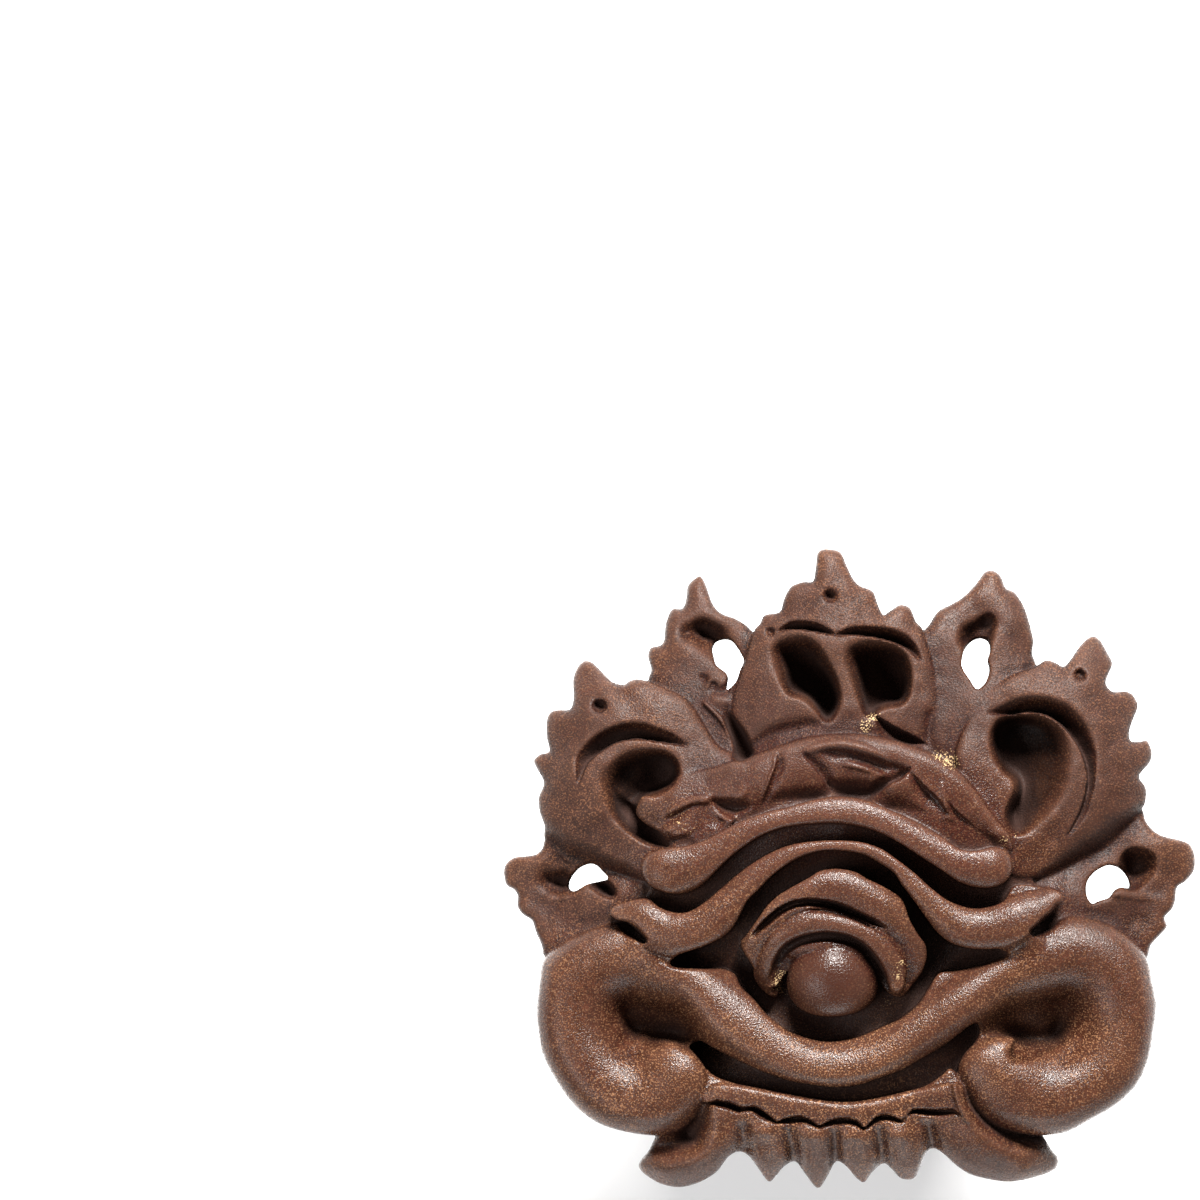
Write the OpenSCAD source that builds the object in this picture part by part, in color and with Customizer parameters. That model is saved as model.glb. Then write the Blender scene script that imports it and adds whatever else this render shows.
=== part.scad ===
// Ear plug in wood: a turned saddle barrel and a carved, pierced leaf-and-eye front, all one piece.
// It stands on its rear end face. Origin: centre of the rear end face.
// +Z runs along the plug to the carved front, +Y to the crown of the carving, +X to its right.
// Lengths are in millimetres. Table columns are thousandths of a named size:
// x and w (half width) of face_w, y of face_h, h (height above the flat back) of relief.

/* [Barrel] */
// Diameter at the waist, the gauge size of the plug
waist_d = 12.7; // [11.5:0.1:14]
// Length from the rear end face to the flat back of the carved front
barrel_l = 15.6; // [14:0.1:18]
// Distance of the waist from the rear end face
waist_z = 7.72; // [7:0.1:8.4]
// Length of the straight band at the waist
waist_band = 1.7; // [0.5:0.1:2.4]
// Radius of the flare in side view
flare_r = 20; // [16:0.5:24]
// Slope of the two flared ends, in degrees
flare_angle = 10; // [8:0.5:12]
// Bevel around the rear end face
rear_bevel = 0.42; // [0.2:0.02:0.8]

/* [Carved front] */
// Width of the carved front from leaf tip to leaf tip
face_w = 23; // [21:0.1:26]
// Height of the carved front from crown to teeth
face_h = 21.2; // [19:0.1:24]
// Depth of the carved front from its flat back to the fold over the eye
relief = 5; // [4:0.1:6]
// Height of the floor between the carved rolls, as a share of the depth
bed_share = 0.42; // [0.3:0.01:0.5]
// Height of the web behind the teeth, as a share of the depth
jaw_share = 0.34; // [0.26:0.01:0.4]

/* [Finish] */
// Colour of the wood
wood_color = "#6b3f28"; // color
// Spans drawn between two rows of a table
span_steps = 2; // [2:1:3]

/* [Hidden] */
// A length that only lets solids run past each other
past = 0.5;
// How far the barrel runs into the carved front
seat_in = 0.6;
// Flat facets across a carved roll and across a cut
roll_facets = 6;
cut_facets = 4;
boss_facets = 20;
// Squareness of a rounded roll: one is round, less is squarer
squareness = 0.5;
waist_r = waist_d / 2;
arc_rise = flare_r * (1 - cos(flare_angle));
arc_run = flare_r * sin(flare_angle);
rear_arc_z = waist_z - waist_band / 2;
seat_arc_z = waist_z + waist_band / 2;
rear_r = waist_r + arc_rise + (rear_arc_z - arc_run - rear_bevel) * tan(flare_angle);
seat_r = waist_r + arc_rise + (barrel_l - seat_arc_z - arc_run) * tan(flare_angle);

// Outline of the crown leaf [x, y]
crown_edge = [
    [-132, 403], [-122, 417], [-116, 430], [-94, 435], [-88, 455], [-77, 475], [-58, 482],
    [-46, 482], [-42, 505], [-40, 526], [-32, 533], [-14, 532], [-5, 526], [3, 506],
    [12, 486], [22, 475], [40, 467], [47, 448], [55, 430], [66, 437], [80, 446], [94, 441],
    [102, 420], [113, 405], [140, 330], [165, 200], [100, 130], [-100, 130], [-165, 200],
    [-150, 340]
];
// Outline of the small leaf at the top left [x, y]
top_left_edge = [
    [-120, 398], [-132, 403], [-143, 415], [-160, 426], [-178, 433], [-191, 448], [-201, 478],
    [-210, 495], [-227, 479], [-230, 455], [-236, 441], [-250, 441], [-259, 419], [-262, 390],
    [-269, 383], [-281, 380], [-285, 366], [-280, 345], [-283, 320], [-250, 240],
    [-150, 190], [-125, 300]
];
// Outline of the small leaf at the top right [x, y]
top_right_edge = [
    [100, 395], [113, 405], [122, 416], [134, 436], [155, 448], [172, 460], [188, 478],
    [202, 498], [213, 501], [225, 492], [232, 473], [245, 466], [258, 445], [267, 415],
    [272, 390], [270, 370], [275, 350], [285, 300], [210, 190], [130, 240]
];
// Outline of the big leaf on the left [x, y]
big_left_edge = [
    [-250, 310], [-283, 321], [-300, 330], [-313, 326], [-319, 321], [-336, 326], [-352, 343],
    [-364, 356], [-375, 360], [-386, 351], [-393, 330], [-392, 300], [-397, 283], [-412, 282],
    [-424, 280], [-431, 267], [-431, 240], [-427, 217], [-440, 213], [-450, 203],
    [-445, 190], [-435, 170], [-438, 157], [-443, 144], [-441, 122], [-434, 100],
    [-433, 78], [-395, 50], [-300, 5], [-200, 40], [-150, 190], [-185, 240]
];
// Outline of the big leaf on the right [x, y]
big_right_edge = [
    [230, 330], [275, 350], [289, 359], [303, 356], [315, 349], [326, 361], [338, 380],
    [349, 393], [359, 398], [369, 391], [377, 375], [386, 355], [380, 338], [376, 323],
    [386, 310], [405, 311], [416, 305], [423, 288], [416, 268], [410, 248], [412, 233],
    [427, 232], [436, 234], [443, 216], [440, 200], [424, 178], [434, 160], [434, 140],
    [428, 126], [395, 75], [300, 20], [200, 40], [160, 200], [195, 290]
];
// Outline of the low leaf on the left [x, y]
low_left_edge = [
    [-410, 80], [-433, 79], [-437, 66], [-446, 56], [-462, 53], [-478, 51], [-490, 42],
    [-494, 28], [-490, 8], [-478, 0], [-473, -10], [-474, -25], [-466, -38], [-452, -48],
    [-447, -65], [-438, -88], [-433, -106], [-400, -120], [-290, -120], [-280, 30],
    [-330, 75]
];
// Outline of the low leaf on the right [x, y]
low_right_edge = [
    [400, 120], [428, 127], [433, 110], [443, 95], [457, 85], [480, 79], [496, 73],
    [504, 60], [506, 45], [503, 28], [492, 14], [479, 4], [477, -15], [472, -30],
    [461, -43], [465, -57], [455, -70], [441, -87], [434, -108], [400, -120],
    [300, -120], [290, 30], [340, 90]
];
// Outline of the cheeks and the lip between them [x, y]
cheek_edge = [
    [-433, -104], [-438, -140], [-443, -180], [-443, -215], [-437, -252], [-424, -283],
    [-402, -320], [-380, -346], [-352, -366], [-318, -377], [-290, -382], [-262, -383],
    [-235, -372], [-212, -345], [-150, -300], [0, -312], [120, -285], [172, -335],
    [195, -358], [235, -376], [285, -382], [318, -378], [350, -360], [390, -335],
    [420, -303], [436, -265], [443, -225], [448, -180], [442, -145], [434, -108],
    [405, -70], [370, -50], [320, -42], [250, -70], [130, -100], [0, -210], [-130, -110],
    [-250, -80], [-300, -48], [-350, -52], [-400, -76]
];
// Outline of the teeth, fangs and gum [x, y]
jaw_edge = [
    [-262, -375], [-275, -392], [-284, -409], [-298, -429], [-290, -444], [-265, -460],
    [-238, -465], [-210, -457], [-185, -440], [-168, -416], [-152, -408], [-137, -417],
    [-122, -440], [-110, -457], [-100, -447], [-88, -432], [-72, -424], [-58, -443],
    [-40, -467], [-27, -450], [-13, -424], [2, -432], [15, -449], [27, -458], [38, -442],
    [55, -427], [68, -437], [80, -451], [98, -452], [106, -438], [115, -412], [127, -403],
    [142, -412], [160, -430], [185, -446], [235, -456], [280, -447], [303, -436],
    [307, -420], [296, -404], [281, -380], [220, -300], [150, -250], [-150, -250],
    [-230, -300]
];
// Outline of the floor the rolls stand on [x, y]
bed_edge = [
    [-300, -60], [-240, 80], [-140, 170], [0, 200], [130, 170], [225, 80], [290, -40],
    [260, -200], [190, -330], [100, -345], [-100, -345], [-200, -330], [-270, -200]
];

// Mid line of each leaf [x, y, w, h]
crown_spine = [[0, 120, 190, 700], [0, 330, 180, 690], [-15, 440, 140, 640], [-24, 540, 80, 440]];
top_left_spine = [[-150, 200, 120, 480], [-205, 400, 90, 390], [-214, 500, 45, 180]];
top_right_spine = [[150, 200, 130, 560], [205, 400, 110, 480], [212, 505, 55, 290]];
big_left_spine = [[-210, 70, 190, 650], [-320, 230, 165, 630], [-355, 300, 110, 540],
    [-378, 370, 50, 300]];
big_right_spine = [[205, 70, 190, 650], [310, 250, 165, 640], [342, 320, 105, 580],
    [362, 405, 55, 340]];
low_left_spine = [[-290, -30, 170, 420], [-450, 15, 95, 350], [-500, 30, 45, 200]];
low_right_spine = [[290, -20, 180, 440], [450, 35, 110, 380], [512, 52, 50, 220]];

// Rolls of the face [x, y, w, h]
forehead = [[-236, 96, 40, 780], [-180, 136, 50, 810], [-110, 168, 52, 830], [-40, 186, 54, 840],
    [30, 186, 54, 840], [95, 160, 52, 835], [150, 116, 46, 820], [196, 80, 34, 790]];
brow = [[-252, 36, 42, 930], [-222, 40, 38, 940], [-192, 58, 29, 940], [-158, 84, 21, 940],
    [-110, 105, 17, 940], [-55, 120, 18, 945], [0, 124, 20, 950], [55, 107, 20, 950],
    [108, 77, 20, 950], [155, 46, 25, 960], [200, 35, 31, 970]];
upper_lid = [[-318, -34, 16, 780], [-288, -42, 27, 880], [-243, -62, 25, 920],
    [-198, -53, 24, 930], [-162, -16, 22, 930], [-112, 36, 15, 935], [-66, 59, 10, 945],
    [-18, 70, 8, 960], [35, 61, 8, 960], [74, 39, 11, 950], [103, 8, 14, 945],
    [130, -27, 19, 940], [162, -55, 26, 940], [202, -60, 29, 950], [245, -44, 30, 960],
    [280, -24, 26, 890], [296, -8, 14, 800]];
outer_fold = [[-128, -74, 9, 760], [-113, -45, 12, 860], [-85, -14, 16, 930], [-45, 6, 22, 980],
    [-5, 5, 24, 1000], [32, -12, 22, 975], [64, -37, 20, 920], [90, -72, 18, 860],
    [104, -108, 13, 780]];
inner_fold = [[-124, -135, 8, 700], [-117, -104, 11, 780], [-97, -69, 12, 860],
    [-60, -49, 14, 920], [-15, -51, 15, 940], [25, -68, 14, 920], [55, -96, 13, 880],
    [75, -130, 11, 820], [82, -154, 8, 740]];
lip = [[-345, -100, 30, 740], [-300, -122, 32, 770], [-240, -150, 38, 810], [-178, -190, 44, 840],
    [-132, -228, 38, 860], [-93, -253, 34, 868], [-50, -267, 33, 872], [-8, -272, 33, 875],
    [40, -262, 32, 872], [95, -231, 33, 862], [145, -188, 38, 850], [205, -160, 38, 830],
    [258, -145, 42, 810], [310, -120, 42, 780], [360, -105, 36, 750]];
gum = [[-186, -312, 14, 720], [-140, -327, 14, 740], [-90, -341, 12, 750], [-40, -348, 11, 755],
    [15, -350, 11, 755], [65, -342, 13, 750], [105, -327, 18, 740], [138, -305, 22, 720]];
left_fang = [[-176, -362, 28, 730], [-184, -392, 32, 730], [-208, -418, 34, 670],
    [-244, -430, 32, 560], [-276, -431, 24, 450]];
right_fang = [[148, -364, 28, 730], [162, -392, 32, 720], [192, -414, 34, 660],
    [236, -421, 34, 560], [278, -421, 29, 450]];
tooth_1 = [[-120, -362, 27, 740], [-117, -395, 30, 720], [-112, -430, 20, 580], [-110, -458, 8, 420]];
tooth_2 = [[-50, -374, 28, 750], [-45, -405, 31, 730], [-41, -440, 20, 580], [-40, -466, 8, 420]];
tooth_3 = [[22, -376, 28, 750], [24, -403, 31, 730], [28, -434, 22, 580], [29, -462, 10, 420]];
tooth_4 = [[82, -366, 27, 740], [84, -398, 29, 720], [88, -430, 24, 580], [90, -455, 16, 440]];

// Hollows and grooves cut into the leaves [x, y, w, h of the floor]
crown_left_hollow = [[-74, 368, 28, 500], [-64, 346, 34, 360], [-46, 322, 32, 280], [-28, 292, 16, 270]];
crown_right_hollow = [[36, 368, 30, 500], [48, 342, 36, 350], [58, 314, 30, 280], [44, 290, 14, 300]];
left_hollow = [[-322, 190, 24, 460], [-296, 182, 34, 320], [-266, 178, 22, 300]];
left_channel = [[-312, 150, 24, 340], [-306, 116, 12, 340], [-292, 92, 9, 360], [-270, 80, 6, 420]];
right_hollow = [[262, 240, 38, 460], [262, 212, 42, 310], [255, 178, 22, 290], [252, 140, 13, 290],
    [248, 106, 9, 320], [247, 90, 5, 400]];
left_crescent = [[-380, 188, 4, 540], [-373, 216, 7, 450], [-354, 242, 9, 430], [-324, 259, 9, 430],
    [-290, 260, 9, 440], [-256, 248, 7, 470], [-234, 239, 4, 540]];
right_crescent = [[226, 284, 5, 540], [256, 293, 9, 440], [290, 293, 10, 430], [325, 275, 10, 430],
    [350, 245, 9, 430], [361, 205, 7, 440], [353, 158, 5, 470], [336, 116, 4, 510],
    [322, 88, 3, 550]];
crown_left_arch = [[-86, 421, 5, 540], [-68, 423, 8, 500], [-48, 418, 8, 500], [-28, 409, 5, 540]];
crown_right_arch = [[-14, 411, 6, 540], [12, 413, 9, 500], [42, 409, 9, 500], [72, 397, 8, 510],
    [94, 386, 5, 540]];
top_left_scoop = [[-214, 402, 10, 300], [-196, 404, 17, 230], [-176, 390, 14, 190]];
top_right_scoop = [[166, 402, 14, 380], [184, 420, 15, 330], [206, 418, 12, 340], [206, 396, 10, 330]];
low_left_scoop = [[-428, 18, 12, 290], [-404, 14, 18, 210]];
low_right_scoop = [[440, 46, 14, 320], [414, 42, 20, 230]];
crown_crevice = [[-171, 282, 5, 380], [-163, 248, 6, 320], [-152, 212, 6, 320]];
right_flank = [[128, 388, 11, 540], [138, 340, 17, 440], [142, 280, 20, 430], [138, 232, 15, 430]];
left_shadow = [[-426, 76, 6, 300], [-402, 56, 8, 290], [-372, 52, 8, 280], [-338, 54, 8, 320],
    [-300, 34, 8, 400], [-284, 22, 6, 440]];
right_shadow = [[424, 120, 6, 310], [400, 88, 10, 280], [365, 58, 10, 280], [325, 34, 9, 320],
    [292, 22, 6, 400]];
left_notch = [[-330, -54, 6, 420], [-312, -60, 9, 360], [-293, -76, 6, 420]];
right_notch = [[307, -18, 4, 440], [303, -40, 6, 400], [289, -58, 7, 380], [272, -69, 4, 440]];
left_curl_hollow = [[-305, -192, 20, 620], [-282, -212, 26, 480], [-250, -220, 20, 440],
    [-218, -240, 12, 420]];
right_curl_hollow = [[318, -190, 22, 620], [290, -206, 30, 470], [264, -230, 24, 430]];
right_curl_slit = [[262, -208, 12, 450], [234, -206, 10, 440], [204, -212, 8, 430]];
// Chip cuts across the forehead [x, y, w, h of the floor]
forehead_cuts = [
    [[-176, 138, 3, 740], [-150, 131, 5, 700], [-122, 136, 3, 740]],
    [[-101, 214, 2, 810], [-108, 182, 4, 770], [-117, 148, 3, 740]],
    [[-58, 210, 2, 810], [-44, 190, 4, 770], [-26, 166, 3, 740]],
    [[4, 206, 2, 810], [42, 200, 5, 770], [82, 184, 2, 800]],
    [[94, 182, 2, 810], [68, 164, 4, 760], [44, 150, 3, 720]],
    [[106, 182, 2, 800], [134, 150, 4, 750], [168, 104, 3, 740]]
];
// Holes pierced through the front between the leaves [x, y]
top_left_hole = [[-192, 378], [-188, 388], [-178, 393], [-160, 388], [-146, 361], [-151, 345],
    [-157, 326], [-168, 313], [-170, 336], [-186, 352]];
top_right_hole = [[168, 350], [172, 375], [183, 390], [196, 395], [208, 390], [209, 372],
    [205, 358], [209, 345], [203, 325], [188, 312], [178, 325]];
low_left_hole = [[-400, 8], [-394, 22], [-380, 36], [-362, 42], [-350, 30], [-340, 19],
    [-352, 15], [-372, 10], [-392, -2]];
low_right_hole = [[347, 2], [352, 18], [364, 31], [381, 39], [398, 34], [409, 18], [412, 3],
    [392, 0], [380, -13], [357, -22]];
// Round blind dimples [x, y, w, h of the floor]
dimples = [[-22, 460, 11, 440], [-355, 290, 10, 380], [339, 337, 12, 420]];
// Bevels on the flat back [half width, y of the near line, y past the edge, h there]
crown_bevel = [50, 415, 545, 250];
jaw_bevel = [330, -402, -480, 150];
// Rounded bosses [x, y, w, half height as a share of face_h, h, h of the foot]
eyeball = [-18, -144, 60, 56, 890, 420];
left_cheek = [-336, -228, 134, 182, 780, 0];
left_brow_cheek = [-330, -128, 124, 92, 760, 0];
left_lobe = [-254, -306, 62, 72, 830, 300];
right_cheek = [336, -222, 140, 186, 780, 0];
right_brow_cheek = [336, -126, 124, 96, 770, 0];
right_lobe = [234, -302, 74, 82, 840, 300];

// Point of the outline in millimetres
function at(p) = [p[0] * face_w, p[1] * face_h] / 1000;
// Row [x, y, w, h] in millimetres
function row_mm(r) = [r[0] * face_w, r[1] * face_h, r[2] * face_w, r[3] * relief] / 1000;
// One point of a smooth curve through four rows
function blend(a, b, c, d, t) =
    b + (c - a) * t / 2
    + (a * 2 - b * 5 + c * 4 - d) * t * t / 2
    + (b * 3 - a - c * 3 + d) * t * t * t / 2;
// Rows of a smooth curve through a table
function smooth(rows) = [
    for (i = [0 : len(rows) - 2], k = [0 : span_steps - 1])
        blend(rows[max(i - 1, 0)], rows[i], rows[i + 1], rows[min(i + 2, len(rows) - 1)],
            k / span_steps),
    rows[len(rows) - 1]
];
// Direction of travel at one row, one millimetre long
function heading(rows, i) =
    let (d = rows[min(i + 1, len(rows) - 1)] - rows[max(i - 1, 0)], n = norm([d[0], d[1]]))
    [d[0] / n, d[1] / n];
// Section of a roll [across, up], minus one for its foot below the back plane
roll_section = concat(
    [[1, -1]],
    [for (k = [0 : roll_facets])
        [cos(180 * k / roll_facets), pow(sin(180 * k / roll_facets), squareness)]],
    [[-1, -1]]
);
// Section of a cut [across, rise above its floor], two for its open top
cut_section = concat(
    [[-1, 2]],
    [for (k = [0 : cut_facets]) [-cos(180 * k / cut_facets), 1 - sin(180 * k / cut_facets)]],
    [[1, 2]]
);
// Rounded end of a swept form: stations [x, y, w, h, size left, heading]
function tip(r, d, way, turns) = [
    for (a = turns)
        [r[0] + d[0] * way * r[2] * sin(a), r[1] + d[1] * way * r[2] * sin(a), r[2] * cos(a),
            r[3], cos(a), d]
];
// All stations of a swept form, both rounded ends included
function stations(table) =
    let (rows = smooth([for (r = table) row_mm(r)]), last = len(rows) - 1)
    concat(
        tip(rows[0], heading(rows, 0), -1, [80, 42]),
        [for (i = [0 : last]) concat(rows[i], [1, heading(rows, i)])],
        tip(rows[last], heading(rows, last), 1, [42, 80])
    );
// Point across a station
function across(s, share, z) = [s[0] - s[5][1] * s[2] * share, s[1] + s[5][0] * s[2] * share, z];

// Skin over equal rings of points, closed at both ends
module skin(rings) {
    n = len(rings[0]);
    m = len(rings);
    polyhedron(
        points = [for (ring = rings, p = ring) p],
        faces = concat(
            [[for (k = [0 : n - 1]) k]],
            [for (i = [0 : m - 2], k = [0 : n - 1])
                let (a = i * n + k, b = i * n + (k + 1) % n) [a, a + n, b]],
            [for (i = [0 : m - 2], k = [0 : n - 1])
                let (a = i * n + k, b = i * n + (k + 1) % n) [b, a + n, b + n]],
            [[for (k = [n - 1 : -1 : 0]) (m - 1) * n + k]]
        )
    );
}
// Raised roll that stands on the back plane
module roll(table) {
    skin([for (s = stations(table))
        [for (c = roll_section) across(s, c[0], c[1] < 0 ? -past : c[1] * s[3] * sqrt(s[4]))]]);
}
// Round-bottomed cut that is open to the front
module cut(table) {
    skin([for (s = stations(table))
        [for (c = cut_section)
            across(s, c[0], c[1] > 1 ? relief + past : s[3] + (c[1] + 1 - s[4]) * s[2])]]);
}
// Rounded boss over a foot
module boss(b) {
    translate([b[0] * face_w, b[1] * face_h, b[5] * relief] / 1000)
        scale([b[2] * face_w, b[3] * face_h, (b[4] - b[5]) * relief] / 1000)
            sphere(r = 1, $fn = boss_facets);
}
// Straight-walled block over an outline, as high as the carved front is deep
module block(edge) {
    linear_extrude(height = relief)
        polygon([for (p = edge) at(p)]);
}
// Hole through the whole front
module pierced(edge) {
    translate([0, 0, -past])
        linear_extrude(height = relief + past * 2)
            polygon([for (p = edge) at(p)]);
}
// Leaf: its outline, rounded over by its mid line
module leaf(edge, spine) {
    intersection() {
        block(edge);
        roll(spine);
    }
}

// Turned barrel with a flared waist
module saddle() {
    rotate_extrude()
        difference() {
            polygon([
                [0, 0],
                [rear_r - rear_bevel, 0],
                [rear_r, rear_bevel],
                [waist_r + arc_rise, rear_arc_z - arc_run],
                [waist_r + arc_rise, seat_arc_z + arc_run],
                [seat_r, barrel_l],
                [seat_r, barrel_l + seat_in],
                [0, barrel_l + seat_in]
            ]);
            translate([waist_r + flare_r, rear_arc_z])
                circle(r = flare_r);
            translate([waist_r + flare_r, seat_arc_z])
                circle(r = flare_r);
            translate([waist_r, rear_arc_z])
                square([flare_r, waist_band]);
        }
}
// Crown leaf with two scroll hollows, two arched cuts and a dimple
module crown() {
    difference() {
        leaf(crown_edge, crown_spine);
        cut(crown_left_hollow);
        cut(crown_right_hollow);
        cut(crown_left_arch);
        cut(crown_right_arch);
        cut(right_flank);
    }
}
// Small pierced leaves beside the crown
module top_leaves() {
    difference() {
        union() {
            leaf(top_left_edge, top_left_spine);
            leaf(top_right_edge, top_right_spine);
        }
        cut(top_left_scoop);
        cut(top_right_scoop);
        pierced(top_left_hole);
        pierced(top_right_hole);
    }
}
// Big scrolled leaves at both shoulders
module big_leaves() {
    difference() {
        union() {
            leaf(big_left_edge, big_left_spine);
            leaf(big_right_edge, big_right_spine);
        }
        cut(left_hollow);
        cut(left_channel);
        cut(right_hollow);
        cut(left_crescent);
        cut(right_crescent);
    }
}
// Low pierced leaves at both sides
module low_leaves() {
    leaf(low_left_edge, low_left_spine);
    leaf(low_right_edge, low_right_spine);
}
// Forehead arch with its chip cuts
module forehead_arch() {
    difference() {
        roll(forehead);
        for (c = forehead_cuts)
            cut(c);
    }
}
// Flat floor over an outline
module floor_block(edge, share) {
    linear_extrude(height = relief * share)
        polygon([for (p = edge) at(p)]);
}
// Brow, lids, folds and eyeball
module eye() {
    roll(brow);
    roll(upper_lid);
    roll(outer_fold);
    roll(inner_fold);
    boss(eyeball);
}
// Lip that sweeps under the eye and curls into two cheeks
module cheeks() {
    intersection() {
        block(cheek_edge);
        union() {
            boss(left_cheek);
            boss(left_brow_cheek);
            boss(left_lobe);
            boss(right_cheek);
            boss(right_brow_cheek);
            boss(right_lobe);
            roll(lip);
        }
    }
}
// Gum, teeth and two fangs
module jaw() {
    intersection() {
        block(jaw_edge);
        union() {
            roll(gum);
            roll(left_fang);
            roll(right_fang);
            roll(tooth_1);
            roll(tooth_2);
            roll(tooth_3);
            roll(tooth_4);
            floor_block(jaw_edge, jaw_share);
        }
    }
}
// Bevel on the flat back, from a line across it to past an edge of the outline
module back_bevel(b) {
    half_w = b[0] * face_w / 1000;
    near = b[1] * face_h / 1000;
    far = b[2] * face_h / 1000;
    up = b[3] * relief / 1000;
    translate([-half_w, 0, 0])
        rotate([90, 0, 90])
            linear_extrude(height = half_w * 2)
                polygon([[near, 0], [far, up], [far, -past], [near, -past]]);
}
// Whole carved front on its flat back
module carved_front() {
    difference() {
        union() {
            difference() {
                union() {
                    crown();
                    top_leaves();
                    big_leaves();
                    low_leaves();
                }
                cut(crown_crevice);
                cut(left_shadow);
                cut(right_shadow);
            }
            floor_block(bed_edge, bed_share);
            forehead_arch();
            eye();
            cheeks();
            jaw();
        }
        cut(left_notch);
        cut(right_notch);
        cut(left_curl_hollow);
        cut(right_curl_hollow);
        cut(right_curl_slit);
        cut(low_left_scoop);
        cut(low_right_scoop);
        pierced(low_left_hole);
        pierced(low_right_hole);
        back_bevel(crown_bevel);
        back_bevel(jaw_bevel);
        for (d = dimples)
            translate([d[0] * face_w, d[1] * face_h, d[3] * relief] / 1000)
                cylinder(r = d[2] * face_w / 1000, h = relief, $fn = 12);
        translate([-face_w, -face_h, -face_w])
            cube([face_w * 2, face_h * 2, face_w]);
    }
}

// The whole plug: barrel and carved front as one solid
module carved_plug() {
    color(wood_color)
        union() {
            saddle();
            translate([0, 0, barrel_l])
                resize([face_w, face_h, 0])
                    carved_front();
        }
}

carved_plug();
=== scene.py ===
import math

import bpy
import numpy as np
from mathutils import Matrix, Vector


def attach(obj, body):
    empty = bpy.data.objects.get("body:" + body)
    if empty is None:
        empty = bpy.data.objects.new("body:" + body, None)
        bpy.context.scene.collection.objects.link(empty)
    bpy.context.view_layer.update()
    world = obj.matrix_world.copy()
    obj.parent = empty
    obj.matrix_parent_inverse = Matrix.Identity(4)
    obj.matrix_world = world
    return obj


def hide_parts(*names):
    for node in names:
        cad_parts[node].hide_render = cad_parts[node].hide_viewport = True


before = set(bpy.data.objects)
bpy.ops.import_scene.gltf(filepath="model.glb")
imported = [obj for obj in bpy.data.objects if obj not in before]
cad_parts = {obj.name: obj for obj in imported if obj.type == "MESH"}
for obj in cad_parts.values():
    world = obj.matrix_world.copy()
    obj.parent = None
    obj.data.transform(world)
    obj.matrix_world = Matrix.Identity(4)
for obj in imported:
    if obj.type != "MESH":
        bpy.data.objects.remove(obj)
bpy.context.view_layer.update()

# Sizes in mm, as in part.scad; the scene is in metres
METRE = 1000.0
FACE_W, FACE_H = 23.0, 21.2
BARREL_L = 15.6
WAIST_R, WAIST_Z, WAIST_HALF_L = 6.35, 7.72, 0.85
FLARE_R, FLARE_ANGLE = 20.0, math.radians(10)
REAR_EDGE = 0.42
# The barrel ends inside the carved front
BARREL_TOP = BARREL_L + 0.35
BARREL_SIDES = 240

# Grid of the carving, in mm from the centre of its flat back, and the value far from the wood
STEP = 0.06
GRID_LOW, GRID_HIGH = (-11.75, -10.25, -0.3), (12.05, 11.7, 5.5)
FAR = 3.0
MOST_TRIANGLES = 192000

# Stage, in metres
FLOOR_HALF, FLOOR_CELLS = 0.9, 24
FACE_Z = 0.0186
CAMERA_AWAY = 0.42

# The photo: its width, the size of a pixel on the face and the pixel of the plug's axis
PHOTO_SIZE = 1200
PIXEL = 0.0000331
PLUG_PIXEL = 845, 890

# Colours of the wood, in linear light
BLACK, WHITE = (0, 0, 0), (1, 1, 1)
BROWN_FIBRE = [(0.25, (0.012, 0.0033, 0.0020)), (0.5, (0.029, 0.0083, 0.0050)),
               (0.78, (0.062, 0.0195, 0.0113))]
TAN_FIBRE = [(0.25, (0.019, 0.0058, 0.0028)), (0.5, (0.044, 0.0148, 0.0068)),
             (0.78, (0.082, 0.0305, 0.0140))]
RED_WOOD = 0.046, 0.0118, 0.0086
PORE = 0.016, 0.0052, 0.0038
FLECK = 0.25, 0.125, 0.062
EYEBALL = 0.016, 0.0045, 0.0036
DULLED = 0.60, 0.50, 0.47
# Painted shade for the deep scroll hollows
HOLLOW_SHADE_TINT = 0.30, 0.28, 0.27
# Painted shade, with some dirt, for the cuts and gaps where wood is close round
CUT_SHADE_AND_DIRT = 0.034, 0.0160, 0.0120
WORN = 0.19, 0.088, 0.052
PALE_DUST = 0.42, 0.29, 0.15

# The room from the horizon to overhead
SKY = [(0.0, (1.0, 1.0, 1.0)), (0.06, (0.95, 0.95, 0.95)), (0.16, (0.46, 0.455, 0.45)),
       (0.45, (0.33, 0.325, 0.32)), (0.75, (0.18, 0.177, 0.175)), (1.0, (0.07, 0.07, 0.07))]

# In all tables and cuts a row starts with x and y, in thousandths of the face's width and
# height. An outline has no more. Levels have a height in mm. A line has its half width or run,
# in thousandths of the width, and a depth or height in mm; a spine may lean to one side
UNDER_LIP = [[0,-200,2.2]]

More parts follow.
